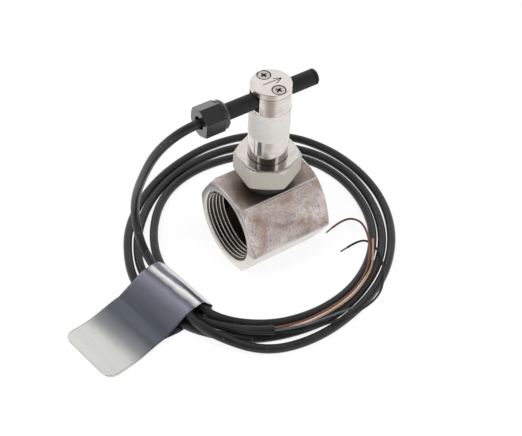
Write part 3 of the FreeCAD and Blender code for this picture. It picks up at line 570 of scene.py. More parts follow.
@dataclass(frozen=True)
class Steel(Finish):
    """A bare metal with tool marks, faint clouds and worn colour."""

    colour: str
    shade: str
    roughness: float
    lay: Lay = Lay.TURNED_Z
    mark_mm: float = 0.35
    mark_depth_mm: float = 0.006
    cloud_mm: float = 6.0
    contrast: float = 0.5
    # a recess darkened with painted shade: radius, half width, from and to height
    recess: tuple[float, float, float, float] | None = None
    # blasted facets: outside this radius, from and to height
    blasted: tuple[float, float, float] | None = None

    def lines(self, tree: Tree, where: Socket) -> Socket:
        """Gives the coordinates in which the tool marks are drawn.

        Args:
            tree: the material's tree.
            where: the object's coordinates.

        Returns:
            A vector that changes fast across the marks and slowly along them.
        """
        if self.lay is Lay.ROLLED:
            return where
        if self.lay is Lay.DRAWN_X:
            stretch = add(tree, "ShaderNodeMapping", {"Vector": where, "Scale": (0.02, 1.0, 1.0)})
            return stretch.outputs[0]
        centre = (0.0, 0.0, 0.0) if self.lay is Lay.TURNED_Z else (0.0, 0.0, -0.025)
        moved = add(tree, "ShaderNodeVectorMath", {0: where, 1: centre}, operation="ADD")
        split = add(tree, "ShaderNodeSeparateXYZ", {0: moved.outputs[0]})
        along = "Z" if self.lay is Lay.TURNED_Z else "X"
        across = "X" if self.lay is Lay.TURNED_Z else "Z"
        flat = add(tree, "ShaderNodeCombineXYZ", {0: split.outputs[across], 1: split.outputs["Y"]})
        radius = add(tree, "ShaderNodeVectorMath", {0: flat.outputs[0]}, operation="LENGTH")
        angle = calc(tree, "ARCTAN2", split.outputs["Y"], split.outputs[across])
        slow = calc(tree, "MULTIPLY", angle, 0.0006)
        joined = add(
            tree, "ShaderNodeCombineXYZ",
            {0: radius.outputs["Value"], 1: slow, 2: split.outputs[along]}
        )
        return joined.outputs[0]

    def looks(self, tree: Tree, where: Socket) -> dict[str, object]:
        """Draws the tool marks, the clouds, the painted shade in the recess and the blasted facets.
        """
        lines = self.lines(tree, where)
        marks = speckle(tree, lines, 1000 / self.mark_mm, 2.0, Roughness=0.6)
        clouds = speckle(tree, where, 1000 / self.cloud_mm, 4.0, Distortion=0.4)
        both = calc(tree, "MULTIPLY", marks, clouds)
        share = remap(tree, both, 0.12, 0.42, 0.0, self.contrast)
        tone = tinted(tree, share, self.colour, self.shade)
        rough = remap(tree, both, 0.1, 0.45, self.roughness * 0.8, self.roughness * 1.3)
        normal = bumped(tree, marks, self.mark_depth_mm)
        metal = 1.0
        if self.recess:
            tone = self.paint_recess_shade(tree, where, tone)
        if self.blasted:
            tone, rough, metal = self.facets(tree, where, tone, rough)
        return {"Base Color": tone, "Metallic": metal, "Roughness": rough, "Normal": normal}

    def facets(
        self, tree: Tree, where: Socket, tone: Socket, rough: Socket
    ) -> tuple[Socket, Socket, Socket]:
        """Makes the facets duller and paler than what is turned.

        Args:
            tree: the material's tree.
            where: the object's coordinates.
            tone: the colour elsewhere.
            rough: the roughness elsewhere.

        Returns:
            The colour, the roughness and the metallic share, the facets' own among them.
        """
        inner, low, high = self.blasted
        split, radius = polar(tree, where)
        outside = calc(tree, "GREATER_THAN", radius, inner * MM)
        level = calc(tree, "COMPARE", split["Z"], (low + high) / 2 * MM, (high - low) / 2 * MM)
        mask = calc(tree, "MULTIPLY", outside, level)
        dull = tinted(tree, mask, tone, "#C6C1B7")
        return dull, between(tree, mask, rough, 0.5), remap(tree, mask, 0.0, 1.0, 1.0, 0.55)

    def paint_recess_shade(self, tree: Tree, where: Socket, tone: Socket) -> Socket:
        """Paints shade into the recess.

        Args:
            tree: the material's tree.
            where: the object's coordinates.
            tone: the metal's colour.

        Returns:
            The colour with the painted shade in the recess.
        """
        outer, half_y, low, high = self.recess
        split, radius = polar(tree, where)
        mask = calc(tree, "COMPARE", radius, 0.0, outer * MM)
        for value, centre, half in (
            (split["Y"], 0.0, half_y), (split["Z"], (low + high) / 2, (high - low) / 2)
        ):
            inside = calc(tree, "COMPARE", value, centre * MM, half * MM)
            mask = calc(tree, "MULTIPLY", mask, inside)
        # painted shade: the recess turns near-black
        return tinted(tree, mask, tone, "#1E1B19")


@dataclass(frozen=True)
class StainedBar(Finish):
    """Drawn stainless bar: pink-brown stain on its flats, bright ends and a bore darkened with
    painted shade.
    """

    name: str = "stained_stainless_bar"
    colour: str = "#DCD2D0"
    brown: str = "#9F8776"
    violet: str = "#A79EA6"
    bright: str = "#E6E3DE"
    bore: str = "#5C534B"
    roughness: float = 0.36
    axis_height: float = 25.0
    end_x: float = 25.2
    bore_r: float = 21.0
    crest_r: float = 19.72
    highlight_r: float = 28.4
    lit_below: float = -1.2
    thread_from: float = 12.5
    patch_mm: float = 22.0
    tint_mm: float = 9.0
    grain_mm: float = 1.1
    mark_mm: float = 0.6
    pit_mm: float = 2.6
    foot_from: float = 30.0
    foot_to: float = 16.0
    top_from: float = 24.0

    def looks(self, tree: Tree, where: Socket) -> dict[str, object]:
        """Draws the stained flats, the clean ends, the bore and the crests of its threads, with
        painted light: shade round the stem's foot and in the bore, a pale underside, and highlights
        on the corners and crests.
        """
        split, foot = polar(tree, where)
        height = calc(tree, "SUBTRACT", split["Z"], self.axis_height * MM)
        flat = add(tree, "ShaderNodeCombineXYZ", {0: height, 1: split["Y"]})
        length = add(tree, "ShaderNodeVectorMath", {0: flat.outputs[0]}, operation="LENGTH")
        radius = length.outputs["Value"]
        reach = calc(tree, "ABSOLUTE", split["X"])
        # painted shade: inside the bore the metal is dark
        is_bore = calc(tree, "LESS_THAN", radius, self.bore_r * MM)
        is_end = calc(tree, "GREATER_THAN", reach, self.end_x * MM)
        # painted light: below the axis the facets are pale, as if lit to white
        is_under = remap(tree, height, self.lit_below * MM, (self.lit_below - 0.8) * MM)
        # the ends are clean but for the side under the stained facets
        slant = facing(tree, flat.outputs[0], (0.5, -0.866, 0.0))
        clean = remap(tree, slant, 11.0 * MM, 20.0 * MM, 1.0, 0.25)
        clean_end = calc(tree, "MULTIPLY", is_end, clean)
        # painted highlight along the rounded corners of the hexagon
        edge_highlight = remap(tree, radius, self.highlight_r * MM, (self.highlight_r + 0.3) * MM, 0.0, 0.55)
        clean_end_and_lit_under = calc(tree, "MAXIMUM", clean_end, is_under)
        is_pale = calc(tree, "MAXIMUM", clean_end_and_lit_under, edge_highlight)
        # painted highlight: the crests of the thread, which stand between the plain bore and its
        # roots, are pale
        off_crest = calc(tree, "COMPARE", radius, (self.crest_r - 0.13) * MM, 0.14 * MM)
        in_thread = calc(tree, "GREATER_THAN", reach, self.thread_from * MM)
        is_crest = calc(tree, "MULTIPLY", off_crest, in_thread)
        patches = speckle(tree, where, 1000 / self.patch_mm, 6.0, Roughness=0.62, Distortion=0.8)
        tint = speckle(tree, where, 1000 / self.tint_mm, 5.0, Roughness=0.7, Distortion=1.2)
        drawn = add(tree, "ShaderNodeMapping", {"Vector": where, "Scale": (0.03, 1.0, 1.0)})
        marks = speckle(tree, drawn.outputs[0], 1000 / self.mark_mm, 3.0)
        pits = add(
            tree, "ShaderNodeTexVoronoi",
            {"Vector": where, "Scale": 1000 / self.pit_mm, "Randomness": 1.0}
        )
        brown_part = remap(tree, patches, 0.38, 0.66, 0.0, 0.95)
        violet_part = remap(tree, tint, 0.5, 0.72, 0.0, 0.75)
        grain = speckle(tree, where, 1000 / self.grain_mm, 5.0, Roughness=0.8)
        grain_part = remap(tree, grain, 0.52, 0.62, 0.0, 0.6)
        # painted shade round the stem's foot, under the nut
        ring = remap(tree, foot, self.foot_from * MM, self.foot_to * MM, 0.0, 0.85, smooth=True)
        on_top = calc(tree, "GREATER_THAN", height, self.top_from * MM)
        foot_shade = calc(tree, "MULTIPLY", ring, on_top)
        pit_part = remap(tree, pits.outputs["Distance"], 0.06, 0.11, 0.8, 0.0)
        # the turned chamfer of the far side mirrors the dark of the room
        rim = remap(tree, radius, 22.6 * MM, 25.6 * MM)
        far = remap(tree, split["Y"], 0.0, 16.0 * MM, 0.0, 0.85)
        dim = calc(tree, "MULTIPLY", rim, far)
        end_tone = tinted(tree, dim, self.bright, "#8C8780")
        base = self.colour
        for share, tone in (
            (brown_part, self.brown), (violet_part, self.violet), (grain_part, "#6A5C58"),
            (foot_shade, "#6B5F58"), (pit_part, "#4A4240"), (is_pale, end_tone), (is_bore, self.bore),
            (is_crest, self.bright)
        ):
            base = tinted(tree, share, base, tone)
        rough = remap(tree, patches, 0.3, 0.7, self.roughness * 0.85, self.roughness * 1.35)
        dents = calc(tree, "SUBTRACT", marks, pit_part)
        normal = bumped(tree, dents, 0.012)
        return {"Base Color": base, "Metallic": 1.0, "Roughness": rough, "Normal": normal}


@dataclass(frozen=True)
class Moulding(Finish):
    """A plastic or rubber with a fine grain, slightly worn colour and pale specks of dust."""

    colour: str
    worn: str
    roughness: float
    grain_mm: float = 0.5
    grain_depth_mm: float = 0.01
    speck_mm: float = 3.0
    specks: float = 0.0
    coat: float = 0.0
    gloss: float = 0.3

    def looks(self, tree: Tree, where: Socket) -> dict[str, object]:
        """Draws the grain, the wear and the dust."""
        grain = speckle(tree, where, 1000 / self.grain_mm, 3.0)
        clouds = speckle(tree, where, 1000 / 14, 4.0)
        share = remap(tree, clouds, 0.35, 0.7)
        base = tinted(tree, share, self.colour, self.worn)
        dust = add(
            tree, "ShaderNodeTexVoronoi",
            {"Vector": where, "Scale": 1000 / self.speck_mm, "Randomness": 1.0}
        )
        dots = remap(tree, dust.outputs["Distance"], 0.03, 0.1, self.specks, 0.0)
        base = tinted(tree, dots, base, "#A8A8A4")
        rough = remap(tree, grain, 0.3, 0.7, self.roughness * 0.88, min(1.0, self.roughness * 1.12))
        return {
            "Base Color": base, "Roughness": rough, "IOR": 1.5, "Specular IOR Level": self.gloss,
            "Coat Weight": self.coat, "Coat Roughness": 0.12,
            "Normal": bumped(tree, grain, self.grain_depth_mm)
        }


@dataclass(frozen=True)
class Foil(Finish):
    """Metallised polyester foil: a soft mirror, its reflections painted as bands that run along the
    cable.
    """

    bands: tuple[tuple[float, str], ...]
    roughness: float
    metallic: float = 0.7
    turn: float = 0.0
    skew: float = 0.0
    streak_mm: float = 2.0
    streaks: float = 0.3

    def looks(self, tree: Tree, where: Socket) -> dict[str, object]:
        """Paints the reflections that a crumpled mirror shows as bands, and fine streaks along
        them.
        """
        along = add(
            tree, "ShaderNodeMapping",
            {"Vector": where, "Rotation": (0.0, 0.0, -math.radians(self.turn))}
        )
        split = add(tree, "ShaderNodeSeparateXYZ", {0: along.outputs[0]})
        wave = speckle(tree, where, 1000 / 14, 3.0)
        drift = calc(tree, "MULTIPLY_ADD", split.outputs["Y"], self.skew, split.outputs["X"])
        waver = calc(tree, "MULTIPLY_ADD", wave, 4.0 * MM, drift)
        low, high = self.bands[0][0], self.bands[-1][0]
        spot = remap(tree, waver, (low + 2.0) * MM, (high + 2.0) * MM)
        # painted reflections: a colour ramp across the fold
        ramp = add(tree, "ShaderNodeValToRGB", {"Fac": spot})
        stops = ramp.color_ramp.elements
        while len(stops) < len(self.bands):
            stops.new(0.5)
        for stop, (place_mm, colour) in zip(stops, self.bands):
            stop.position = (place_mm - low) / (high - low)
            stop.color = linear(colour)
        long = add(
            tree, "ShaderNodeMapping", {"Vector": along.outputs[0], "Scale": (1.0, 0.05, 1.0)}
        )
        lines = speckle(tree, long.outputs[0], 1000 / self.streak_mm, 3.0)
        part = remap(tree, lines, 0.4, 0.7, 0.0, self.streaks)
        base = tinted(tree, part, ramp.outputs[0], "#8E8C98")
        return {
            "Base Color": base, "Metallic": self.metallic, "Roughness": self.roughness,
            "Normal": bumped(tree, wave, 0.25, 0.5)
        }


@dataclass(frozen=True)
class Glass(Finish):
    """Clear soda-lime glass of the reed capsule, with faint drawing lines."""

    name: str = "soda_lime_glass"

    def looks(self, tree: Tree, where: Socket) -> dict[str, object]:
        """Draws the drawing lines."""
        lines = add(tree, "ShaderNodeMapping", {"Vector": where, "Scale": (0.05, 1.0, 1.0)})
        waves = speckle(tree, lines.outputs[0], 1000 / 0.8, 2.0)
        return {
            "Base Color": "#DDF0E4", "Transmission Weight": 1.0, "Roughness": 0.03,
            "IOR": 1.52, "Normal": bumped(tree, waves, 0.004)
        }


def finishes() -> Finishes:
    """Builds every finish of the switch.

    Returns:
        The material of each slot in the record.
    """
    recipes = {
        "tee_steel": StainedBar(),
        # fine-turned stainless: pale, with hair-thin rings
        "stem_steel": Steel(
            "turned_stainless", "#E2DDD9", "#ABA39C", 0.12,
            # painted shade in the slot under the cap
            recess=(12.0, 4.62, 105.0, 114.4), blasted=(15.9, 57.0, 69.3)
        ),
        "cap_steel": Steel(
            # painted shade in the countersinks, the engraved arrow and under the cap
            "fine_turned_stainless", "#ECE5E2", "#CDC6C2", 0.3, recess=(10.55, 12.0, 112.0, 117.6)
        ),
        "screw_steel": Steel(
            "stainless_screw", "#CFC8C1", "#A39E97", 0.3, Lay.ROLLED, 0.8,
            # painted shade on the screw except its head's top: in the cross recess, on the cone and
            # the shank
            recess=(12.0, 12.0, 100.0, 117.45)
        ),
        # nitrile rubber: dull black
        "gasket": Moulding("nitrile_rubber", "#33312E", "#3F3D39", 0.78),
        # matt vinyl on foil: even silver grey
        "label_foil": Foil(
            "matt_label_foil", ((-20.0, "#DEDBD7"), (20.0, "#DBD8D4")), 0.42, 0.45, streaks=0.12
        ),
        "carrier_brass": Steel("turned_brass", "#C9A552", "#8E7138", 0.3),
        "spring_steel": Steel("blued_spring_steel", "#75767B", "#4C4D52", 0.3),
        "lever_steel": Steel("turned_lever_steel", "#BDBAB5", "#8E8B87", 0.32),
        "blade_steel": Steel("rolled_sheet_steel", "#C4C2BE", "#96948F", 0.34, Lay.ROLLED, 0.5),
        "magnet": Steel("nickel_plate", "#B8B5AC", "#8B887F", 0.18, Lay.ROLLED, 1.2),
        # glass-filled polyamide: dull black with a dusty grain
        "black_plastic": Moulding("glass_filled_polyamide", "#111111", "#1A1A1A", 0.5, specks=0.12),
        # polyamide from a polished mould: black with a soft gloss
        "gland_plastic": Moulding(
            "polished_polyamide", "#0D0D0E", "#171718", 0.16, 0.9, 0.004, coat=0.6, gloss=0.5
        ),
        "potting": Moulding("epoxy_resin", "#2A2622", "#383330", 0.35),
        "holder_plastic": Moulding("natural_acetal", "#D8D4C8", "#CBC6B8", 0.42),
        "capsule_glass": Glass(),
        "reed_metal": Steel("rhodium_reed", "#C9C8C6", "#9D9C9A", 0.2, Lay.DRAWN_X, 0.3),
        "wire": Moulding("fluoropolymer_wire", "#7C1D18", "#691711", 0.38),
        # soft vinyl: matt black, dusted with chalk
        "cable_jacket": Moulding(
            "matt_vinyl_jacket", "#121313", "#1D1E1D", 0.34, 1.2, 0.03, speck_mm=4.0, specks=0.35,
            gloss=0.5
        ),
        "core_brown": Moulding("brown_vinyl", "#5A3A2A", "#6B4836", 0.42),
        "core_tan": Moulding("tan_vinyl", "#8F6F58", "#A08068", 0.42),
        "core_grey": Moulding("grey_vinyl", "#3E4247", "#50555A", 0.42),
        "core_black": Moulding("black_vinyl", "#141415", "#222223", 0.42),
        "tin": Steel("tinned_copper", "#8F8C88", "#53504D", 0.4, Lay.ROLLED, 0.5),
        # metallised polyester with painted reflections: mirror streaks on the fold, violet grey
        # beside it, pale at the end
        "flag_foil": Foil(
            "metallised_foil",
            (
                (58.0, "#C4C2CC"), (61.5, "#DAD9DE"), (63.0, "#74727E"), (65.5, "#64626E"),
                (67.2, "#E8E8E4"), (68.8, "#C4C4C2"), (71.0, "#585762"), (74.5, "#8E8C9C"),
                (80.0, "#686A76"), (88.0, "#50545D"), (99.0, "#555960"), (107.0, "#8A8B8C"),
                (114.0, "#C4C4C1"), (130.0, "#CCCCC9"),
            ),
            0.26, 0.6, turn=190.0, skew=0.04, streaks=0.1
        ),
    }
    return {slot: recipe.build() for slot, recipe in recipes.items()}


# ---------------------------------------------------------------- cable


@dataclass
class Lead:
    """The round cable, from the gland down and round in three turns, and its four cores."""

    finish: Finishes
    diameter: float = 5.0
    core_diameter: float = 1.3
    exit: Point = (-35.6, 0.0, 110.0)
    jacket_end: Point = (-36.0, -64.5, 8.9)
    drop: tuple[Point, ...] = (
        (-35.6, 0, 110), (-47, 0, 110), (-57, 3, 104), (-63.5, 9, 91.5), (-66, 17.5, 72),
        (-66, 29, 46), (-66.5, 31, 27), (-67.8, 22, 12.2), (-68.2, 6, 8.8), (-67.6, -7.5, 8.9)
    )
    # angle in degrees, distance from the stem's axis and height of the centre, in millimetres
    first_turn: tuple[Point, ...] = (
        (194, 66.6, 9.4), (199, 65.2, 9.2), (204, 65.0, 5.8), (209, 65.6, 3.0), (217, 65.9, 2.5),
        (228, 65.6, 2.5), (242, 64.8, 2.5), (256, 63.4, 2.5), (270, 62.6, 2.5), (285, 62.4, 2.5),
        (300, 62.6, 2.5), (315, 63.4, 2.5), (330, 64.6, 2.5), (345, 65.6, 2.5), (0, 67.2, 2.5),
        (15, 69.3, 2.5), (32, 71.2, 2.5), (52, 70.4, 2.5), (72, 68.4, 2.5), (92, 67.9, 2.5),
        (110, 67.6, 2.5), (126, 66.0, 2.5), (142, 64.2, 2.5), (156, 63.5, 2.5), (167, 63.1, 2.6)
    )
    second_turn: tuple[Point, ...] = (
        (177, 62.6, 3.0), (186, 64.6, 2.9), (193, 67.4, 3.0), (198, 71.4, 7.6), (203, 75.4, 9.2),
        (209, 78.6, 8.7), (217, 80.8, 8.0), (225, 81.9, 6.5), (233, 82.6, 4.2), (242, 82.0, 2.8),
        (252, 79.8, 2.5), (263, 77.3, 2.5), (275, 74.8, 2.5), (288, 73.8, 2.5), (302, 73.8, 2.5),
        (316, 74.3, 2.5), (330, 75.6, 2.5), (344, 77.4, 2.5), (358, 79.6, 2.5), (13, 82.2, 2.5),
        (28, 85.4, 2.5), (44, 88.0, 2.5), (62, 87.0, 2.5), (80, 83.2, 2.5), (97, 79.2, 2.5),
        (113, 77.8, 2.5), (129, 77.6, 2.5), (145, 78.6, 2.5), (159, 79.2, 2.5), (171, 80.6, 2.6)
    )
    third_turn: tuple[Point, ...] = (
        (183, 81.2, 3.0), (195, 80.3, 3.0), (207, 79.0, 2.8), (217, 77.0, 2.5), (226, 76.0, 2.5),
        (235, 74.6, 2.5), (245, 72.6, 2.5), (257, 70.9, 2.5), (270, 70.0, 2.5), (285, 68.5, 2.5),
        (300, 68.0, 2.5), (315, 69.0, 2.5), (330, 70.1, 2.5), (345, 71.2, 2.5), (0, 73.2, 2.5),
        (15, 76.2, 2.5), (32, 78.6, 2.5), (52, 78.4, 2.5), (72, 76.9, 2.5), (92, 74.0, 2.5),
        (110, 72.6, 2.5), (126, 72.2, 2.5), (142, 72.4, 2.5), (156, 73.4, 2.5), (168, 74.4, 2.5)
    )
    tail: tuple[Point, ...] = (
        (180, 74.2, 2.9), (190, 74.4, 3.0), (198, 73.8, 2.6), (206, 70.8, 2.5), (215, 71.1, 2.7),
        (223, 72.0, 4.9), (232, 74.2, 8.0)
    )
    cores: dict[str, tuple[Point, ...]] = field(
        default_factory=lambda: {
            "core_brown": (
                (-35.6, -63.8, 9.7), (-22, -67.2, 7.8), (-2, -67.4, 7.2), (17, -64.6, 7.2),
                (33.5, -56, 7.6), (44.5, -43.5, 8.2), (51, -31, 8.2), (53, -21, 5.8),
                (48.2, -14, 3.0), (38.5, -15.2, 1.2)
            ),
            "core_tan": (
                (-35.6, -63.8, 8.1), (-22, -68.8, 7.0), (-2, -69.2, 7.2), (17, -66.4, 7.2),
                (35, -57.2, 7.4), (44, -47, 7.8), (49.2, -39.6, 8.2)
            ),
            "core_grey": ((-36.4, -65.2, 9.7), (-24, -69.8, 8.7), (-8, -72, 8.4), (9, -74.2, 8.7)),
            "core_black": (
                (-36.4, -65.2, 8.1), (-24, -71.8, 7.1), (-5, -75.4, 7.0), (12, -77.3, 7.0),
                (27.5, -74.4, 7.0), (38.5, -64.5, 6.8), (47, -51, 6.2), (48.5, -41, 6.0),
                (45.5, -33.6, 5.0), (37, -32.4, 1.2)
            )
        }
    )

    def route(self) -> list[Point]:
        """Gives the control points of the whole cable, in millimetres."""
        points = list(self.drop)
        for turn in (self.first_turn, self.second_turn, self.third_turn, self.tail):
            for angle, distance, height in turn:
                way = math.radians(angle)
                points.append((distance * math.cos(way), distance * math.sin(way), height))
        points.append(self.jacket_end)
        return points

    def curve(self, name: str, points: list[Point], diameter: float, fine: int) -> Thing:
        """Makes one smooth open curve with a round section.

        Args:
            name: the object's name.
            points: the control points in millimetres.
            diameter: the section's diameter in millimetres.
            fine: steps between two control points.

        Returns:
            The curve object.
        """
        data = bpy.data.curves.new(name, "CURVE")
        data.dimensions = "3D"
        # a unit bevel scaled by each point's own radius keeps the curve's bounds true
        data.bevel_depth = 1.0
        data.bevel_resolution = 5 if diameter > 2 else 3
        data.resolution_u = fine
        data.use_fill_caps = True
        line = data.splines.new("NURBS")
        line.points.add(len(points) - 1)
        for spot, point in zip(line.points, points):
            spot.co = (*(Vector(point) * MM), 1.0)
            spot.radius = diameter / 2 * MM
        line.order_u = 3
        line.use_endpoint_u = True
        line.use_smooth = True
        return place(name, data)

    def centreline(self, thing: Thing) -> list[Vector]:
        """Reads the smooth centreline of a curve.

        Args:
            thing: the curve object.

        Returns:
            Points along it in metres.
        """
        depth = thing.data.bevel_depth
        thing.data.bevel_depth = 0.0
        graph = bpy.context.evaluated_depsgraph_get()
        mesh = bpy.data.meshes.new_from_object(thing.evaluated_get(graph))
        line = [vertex.co.copy() for vertex in mesh.vertices]
        bpy.data.meshes.remove(mesh)
        thing.data.bevel_depth = depth
        return line

    def build(self) -> list[Vector]:
        """Builds the cable and its cores.

        Returns:
            The cable's centreline in metres, which the flag is folded round.
        """
        cable = self.curve("loose_cable", self.route(), self.diameter, 10)
        attach(
            cable, self.finish, "cable_jacket", "reed_unit", "cable_lead", "cable_tail",
            "cable_coil"
        )
        line = self.centreline(cable)
        for name, points in self.cores.items():
            core = self.curve("vinyl_" + name, list(points), self.core_diameter, 12)
            attach(core, self.finish, name, "reed_unit", name)
            run = self.centreline(core)
        return line


@dataclass
class Flag:
    """The foil flag: one strip folded round the cable, its two ends stuck together as a leaf."""

    finish: Finishes
    line: list[Vector]
    angle: float = 190.0
    width: float = 39.0
    clear: float = 2.75
    wall: float = 0.2
    start: float = 91.0
    root: float = 3.2
    rest_at: float = 113.0
    reach: float = 129.0
    corner: float = 6.0
    curl: float = 1.6
    # the two sheets' gap, the lower one's height over the floor
    gap: float = 0.22
    ground: float = 0.2
    # which of the cable's strands the strip is folded round
    strands_from: float = 50.0
    strands_below: float = 20.0
    planes: int = 9
    strand_steps: int = 48
    leaf_steps: int = 24
    stations: int = 28
    around: int = 170

    def circles(self, across: float) -> Outline:
        """Finds where the cable passes a plane across the flag.

        Args:
            across: the plane's place along the flag's width, in millimetres.

        Returns:
            Distance and height of each strand, in millimetres.
        """
        turn = Matrix.Rotation(-math.radians(self.angle), 3, "Z")
        spots = []
        flat = [turn @ point / MM for point in self.line]
        for first, last in zip(flat, flat[1:]):
            low, high = first.y - across, last.y - across
            held = first.x > self.strands_from and first.z < self.strands_below
            if low * high <= 0 and low != high and held:
                spot = first.lerp(last, low / (low - high))
                spots.append((spot.x, spot.z))
        return spots

    def section(self) -> Outline:
        """Draws the strip's section: in along the top of the leaf, round the strands and out below.

        Returns:
            Points of equal spacing along the strip.
        """
        cloud = [(self.start, self.root + self.gap)]
        for step in range(self.planes):
            across = self.width / 2 * (2 * step / (self.planes - 1) - 1)
            for distance, height in self.circles(across):
                for corner in range(self.strand_steps):
                    angle = math.tau * corner / self.strand_steps
                    up = max(self.ground, height + self.clear * math.sin(angle))
                    cloud.append((distance + self.clear * math.cos(angle), up))
        cloud.sort()
        halves: list[Outline] = []
        for points in (cloud, cloud[::-1]):
            side: Outline = []
            for point in points:
                while len(side) > 1 and (
                    (side[-1][0] - side[-2][0]) * (point[1] - side[-2][1])
                    - (side[-1][1] - side[-2][1]) * (point[0] - side[-2][0])
                ) <= 0:
                    side.pop()
                side.append(point)
            halves.append(side[:-1])
        shares = [step / self.leaf_steps for step in range(1, self.leaf_steps + 1)]
        beyond = [self.start + (self.reach - self.start) * share for share in shares]
        path = [(along, self.gap + self.lift(along)) for along in reversed(beyond)]
        path += halves[1] + halves[0]
        path += [(self.start, self.root)] + [(along, self.lift(along)) for along in beyond]
        steps = [math.dist(a, b) for a, b in zip(path, path[1:])]
        total = sum(steps)
        result = []
        index, walked = 0, 0.0
        for count in range(self.around):
            goal = total * count / (self.around - 1)
            while index < len(steps) - 1 and walked + steps[index] < goal:
                walked += steps[index]
                index += 1
            part = (goal - walked) / steps[index]
            a, b = path[index], path[index + 1]
            result.append((a[0] + (b[0] - a[0]) * part, a[1] + (b[1] - a[1]) * part))
        return result

    def lift(self, along: float) -> float:
        """Gives the height of the leaf's lower side over the floor.

        Args:
            along: the distance from the coil's middle, in millimetres.

        Returns:
            The height in millimetres.
        """
        sag = min(1.0, (along - self.start) / (self.rest_at - self.start))
        down = (1 - sag) ** 2 * (1 + 2 * sag)
        up = max(0.0, along - self.rest_at) / (self.reach - self.rest_at)
        return self.ground + (self.root - self.ground) * down + self.curl * up * up

    def build(self) -> None:
        """Builds the flag."""
        turn = Matrix.Rotation(math.radians(self.angle), 3, "Z")
        shape = bmesh.new()
        section = self.section()
        rows = []
        for station in range(self.stations + 1):
            across = self.width * (station / self.stations - 0.5)
            row = []
            for distance, height in section:
                near_end = max(0.0, distance - (self.reach - self.corner))
                trim = self.corner - math.sqrt(max(0.0, self.corner**2 - near_end**2))
                side = across * (1 - 2 * trim / self.width)
                row.append(shape.verts.new(turn @ Vector((distance, side, height)) * MM))
            rows.append(row)
        for low, high in zip(rows, rows[1:]):
            for a, b, c, d in zip(low, low[1:], high[1:], high):
                shape.faces.new((a, b, c, d))
        flag = solid("foil_flag", shape, 60.0)
        thick = flag.modifiers.new("wall", "SOLIDIFY")
        thick.thickness = self.wall * MM
        thick.offset = 0.0
        settle(flag)
        attach(flag, self.finish, "flag_foil", "reed_unit", "flag_label")


# ---------------------------------------------------------------- body


@dataclass
class TurnedBody:
    """The tee and the stem, as the frame has them, with their sharp edges broken."""

    finish: Finishes
    pieces: tuple[tuple[str, str, str, float], ...] = (
        ("tee_body", "hexagon_tee", "tee_steel", 0.36),
        ("stem_housing", "slotted_stem", "stem_steel", 0.22)
    )

    def build(self) -> None:
        """Builds both pieces."""
        for node, name, slot, width in self.pieces:
            piece = copy_of(node, name)
            round_edges(piece, width)
            attach(piece, self.finish, slot, "housing", node)


@dataclass
class PipeThreads:
    """The G 1 1/4 threads in the tee's two sockets, as ridges that stand in from the bored wall."""

    finish: Finishes
    pitch: float = 2.309
    crest_r: float = 19.48
    start_x: float = 13.9
    end_x: float = 24.9
    axis_height: float = 25.0
    start_angle: float = 315.0

    def build(self) -> None:
        """Builds both threads with one Geometry Nodes tree."""
        recipe = Recipe("pipe_thread")
        tree = recipe.tree
        length = self.end_x - self.start_x
        turns = recipe.size("Turns", length / self.pitch)
        middle = recipe.size("Middle radius", (self.crest_r + self.pitch / 2) * MM)
        depth = recipe.size("Ridge size", self.pitch / 2 * MM)
        height = recipe.size("Thread length", length * MM)
        helix = add(
            tree, "GeometryNodeCurveSpiral",
            {
                "Resolution": 48, "Rotations": turns, "Start Radius": middle, "End Radius": middle,
                "Height": height
            }
        )
        upright = add(tree, "GeometryNodeSetCurveNormal", {"Curve": helix.outputs[0]})
        upright.mode = "Z_UP"
        ridge = add(
            tree, "GeometryNodeCurvePrimitiveCircle", {"Resolution": 4, "Radius": depth},
            mode="RADIUS"
        )
        thread = add(
            tree, "GeometryNodeCurveToMesh",
            {"Curve": upright.outputs[0], "Profile Curve": ridge.outputs[0], "Fill Caps": True}
        )
        flat = add(
            tree, "GeometryNodeSetShadeSmooth",
            {"Geometry": thread.outputs[0], "Shade Smooth": False}
        )
        phase = recipe.size("Start angle", math.radians(self.start_angle))
        spin = add(tree, "ShaderNodeCombineXYZ", {2: phase})
        flat = add(
            tree, "GeometryNodeTransform",
            {"Geometry": flat.outputs[0], "Rotation": spin.outputs[0]}
        )
        both = add(tree, "GeometryNodeJoinGeometry")
        for direction in (1, -1):
            place_at = (direction * self.start_x * MM, 0, self.axis_height * MM)
            sockets = {
                "Geometry": flat.outputs[0], "Translation": place_at,
                "Rotation": (0, direction * math.pi / 2, 0)
            }
            side = add(tree, "GeometryNodeTransform", sockets)
            tree.links.new(side.outputs[0], both.inputs[0])
        threads = recipe.run("pipe_threads", both.outputs[0], self.finish["tee_steel"])
        attach(threads, self.finish, "tee_steel", "housing")


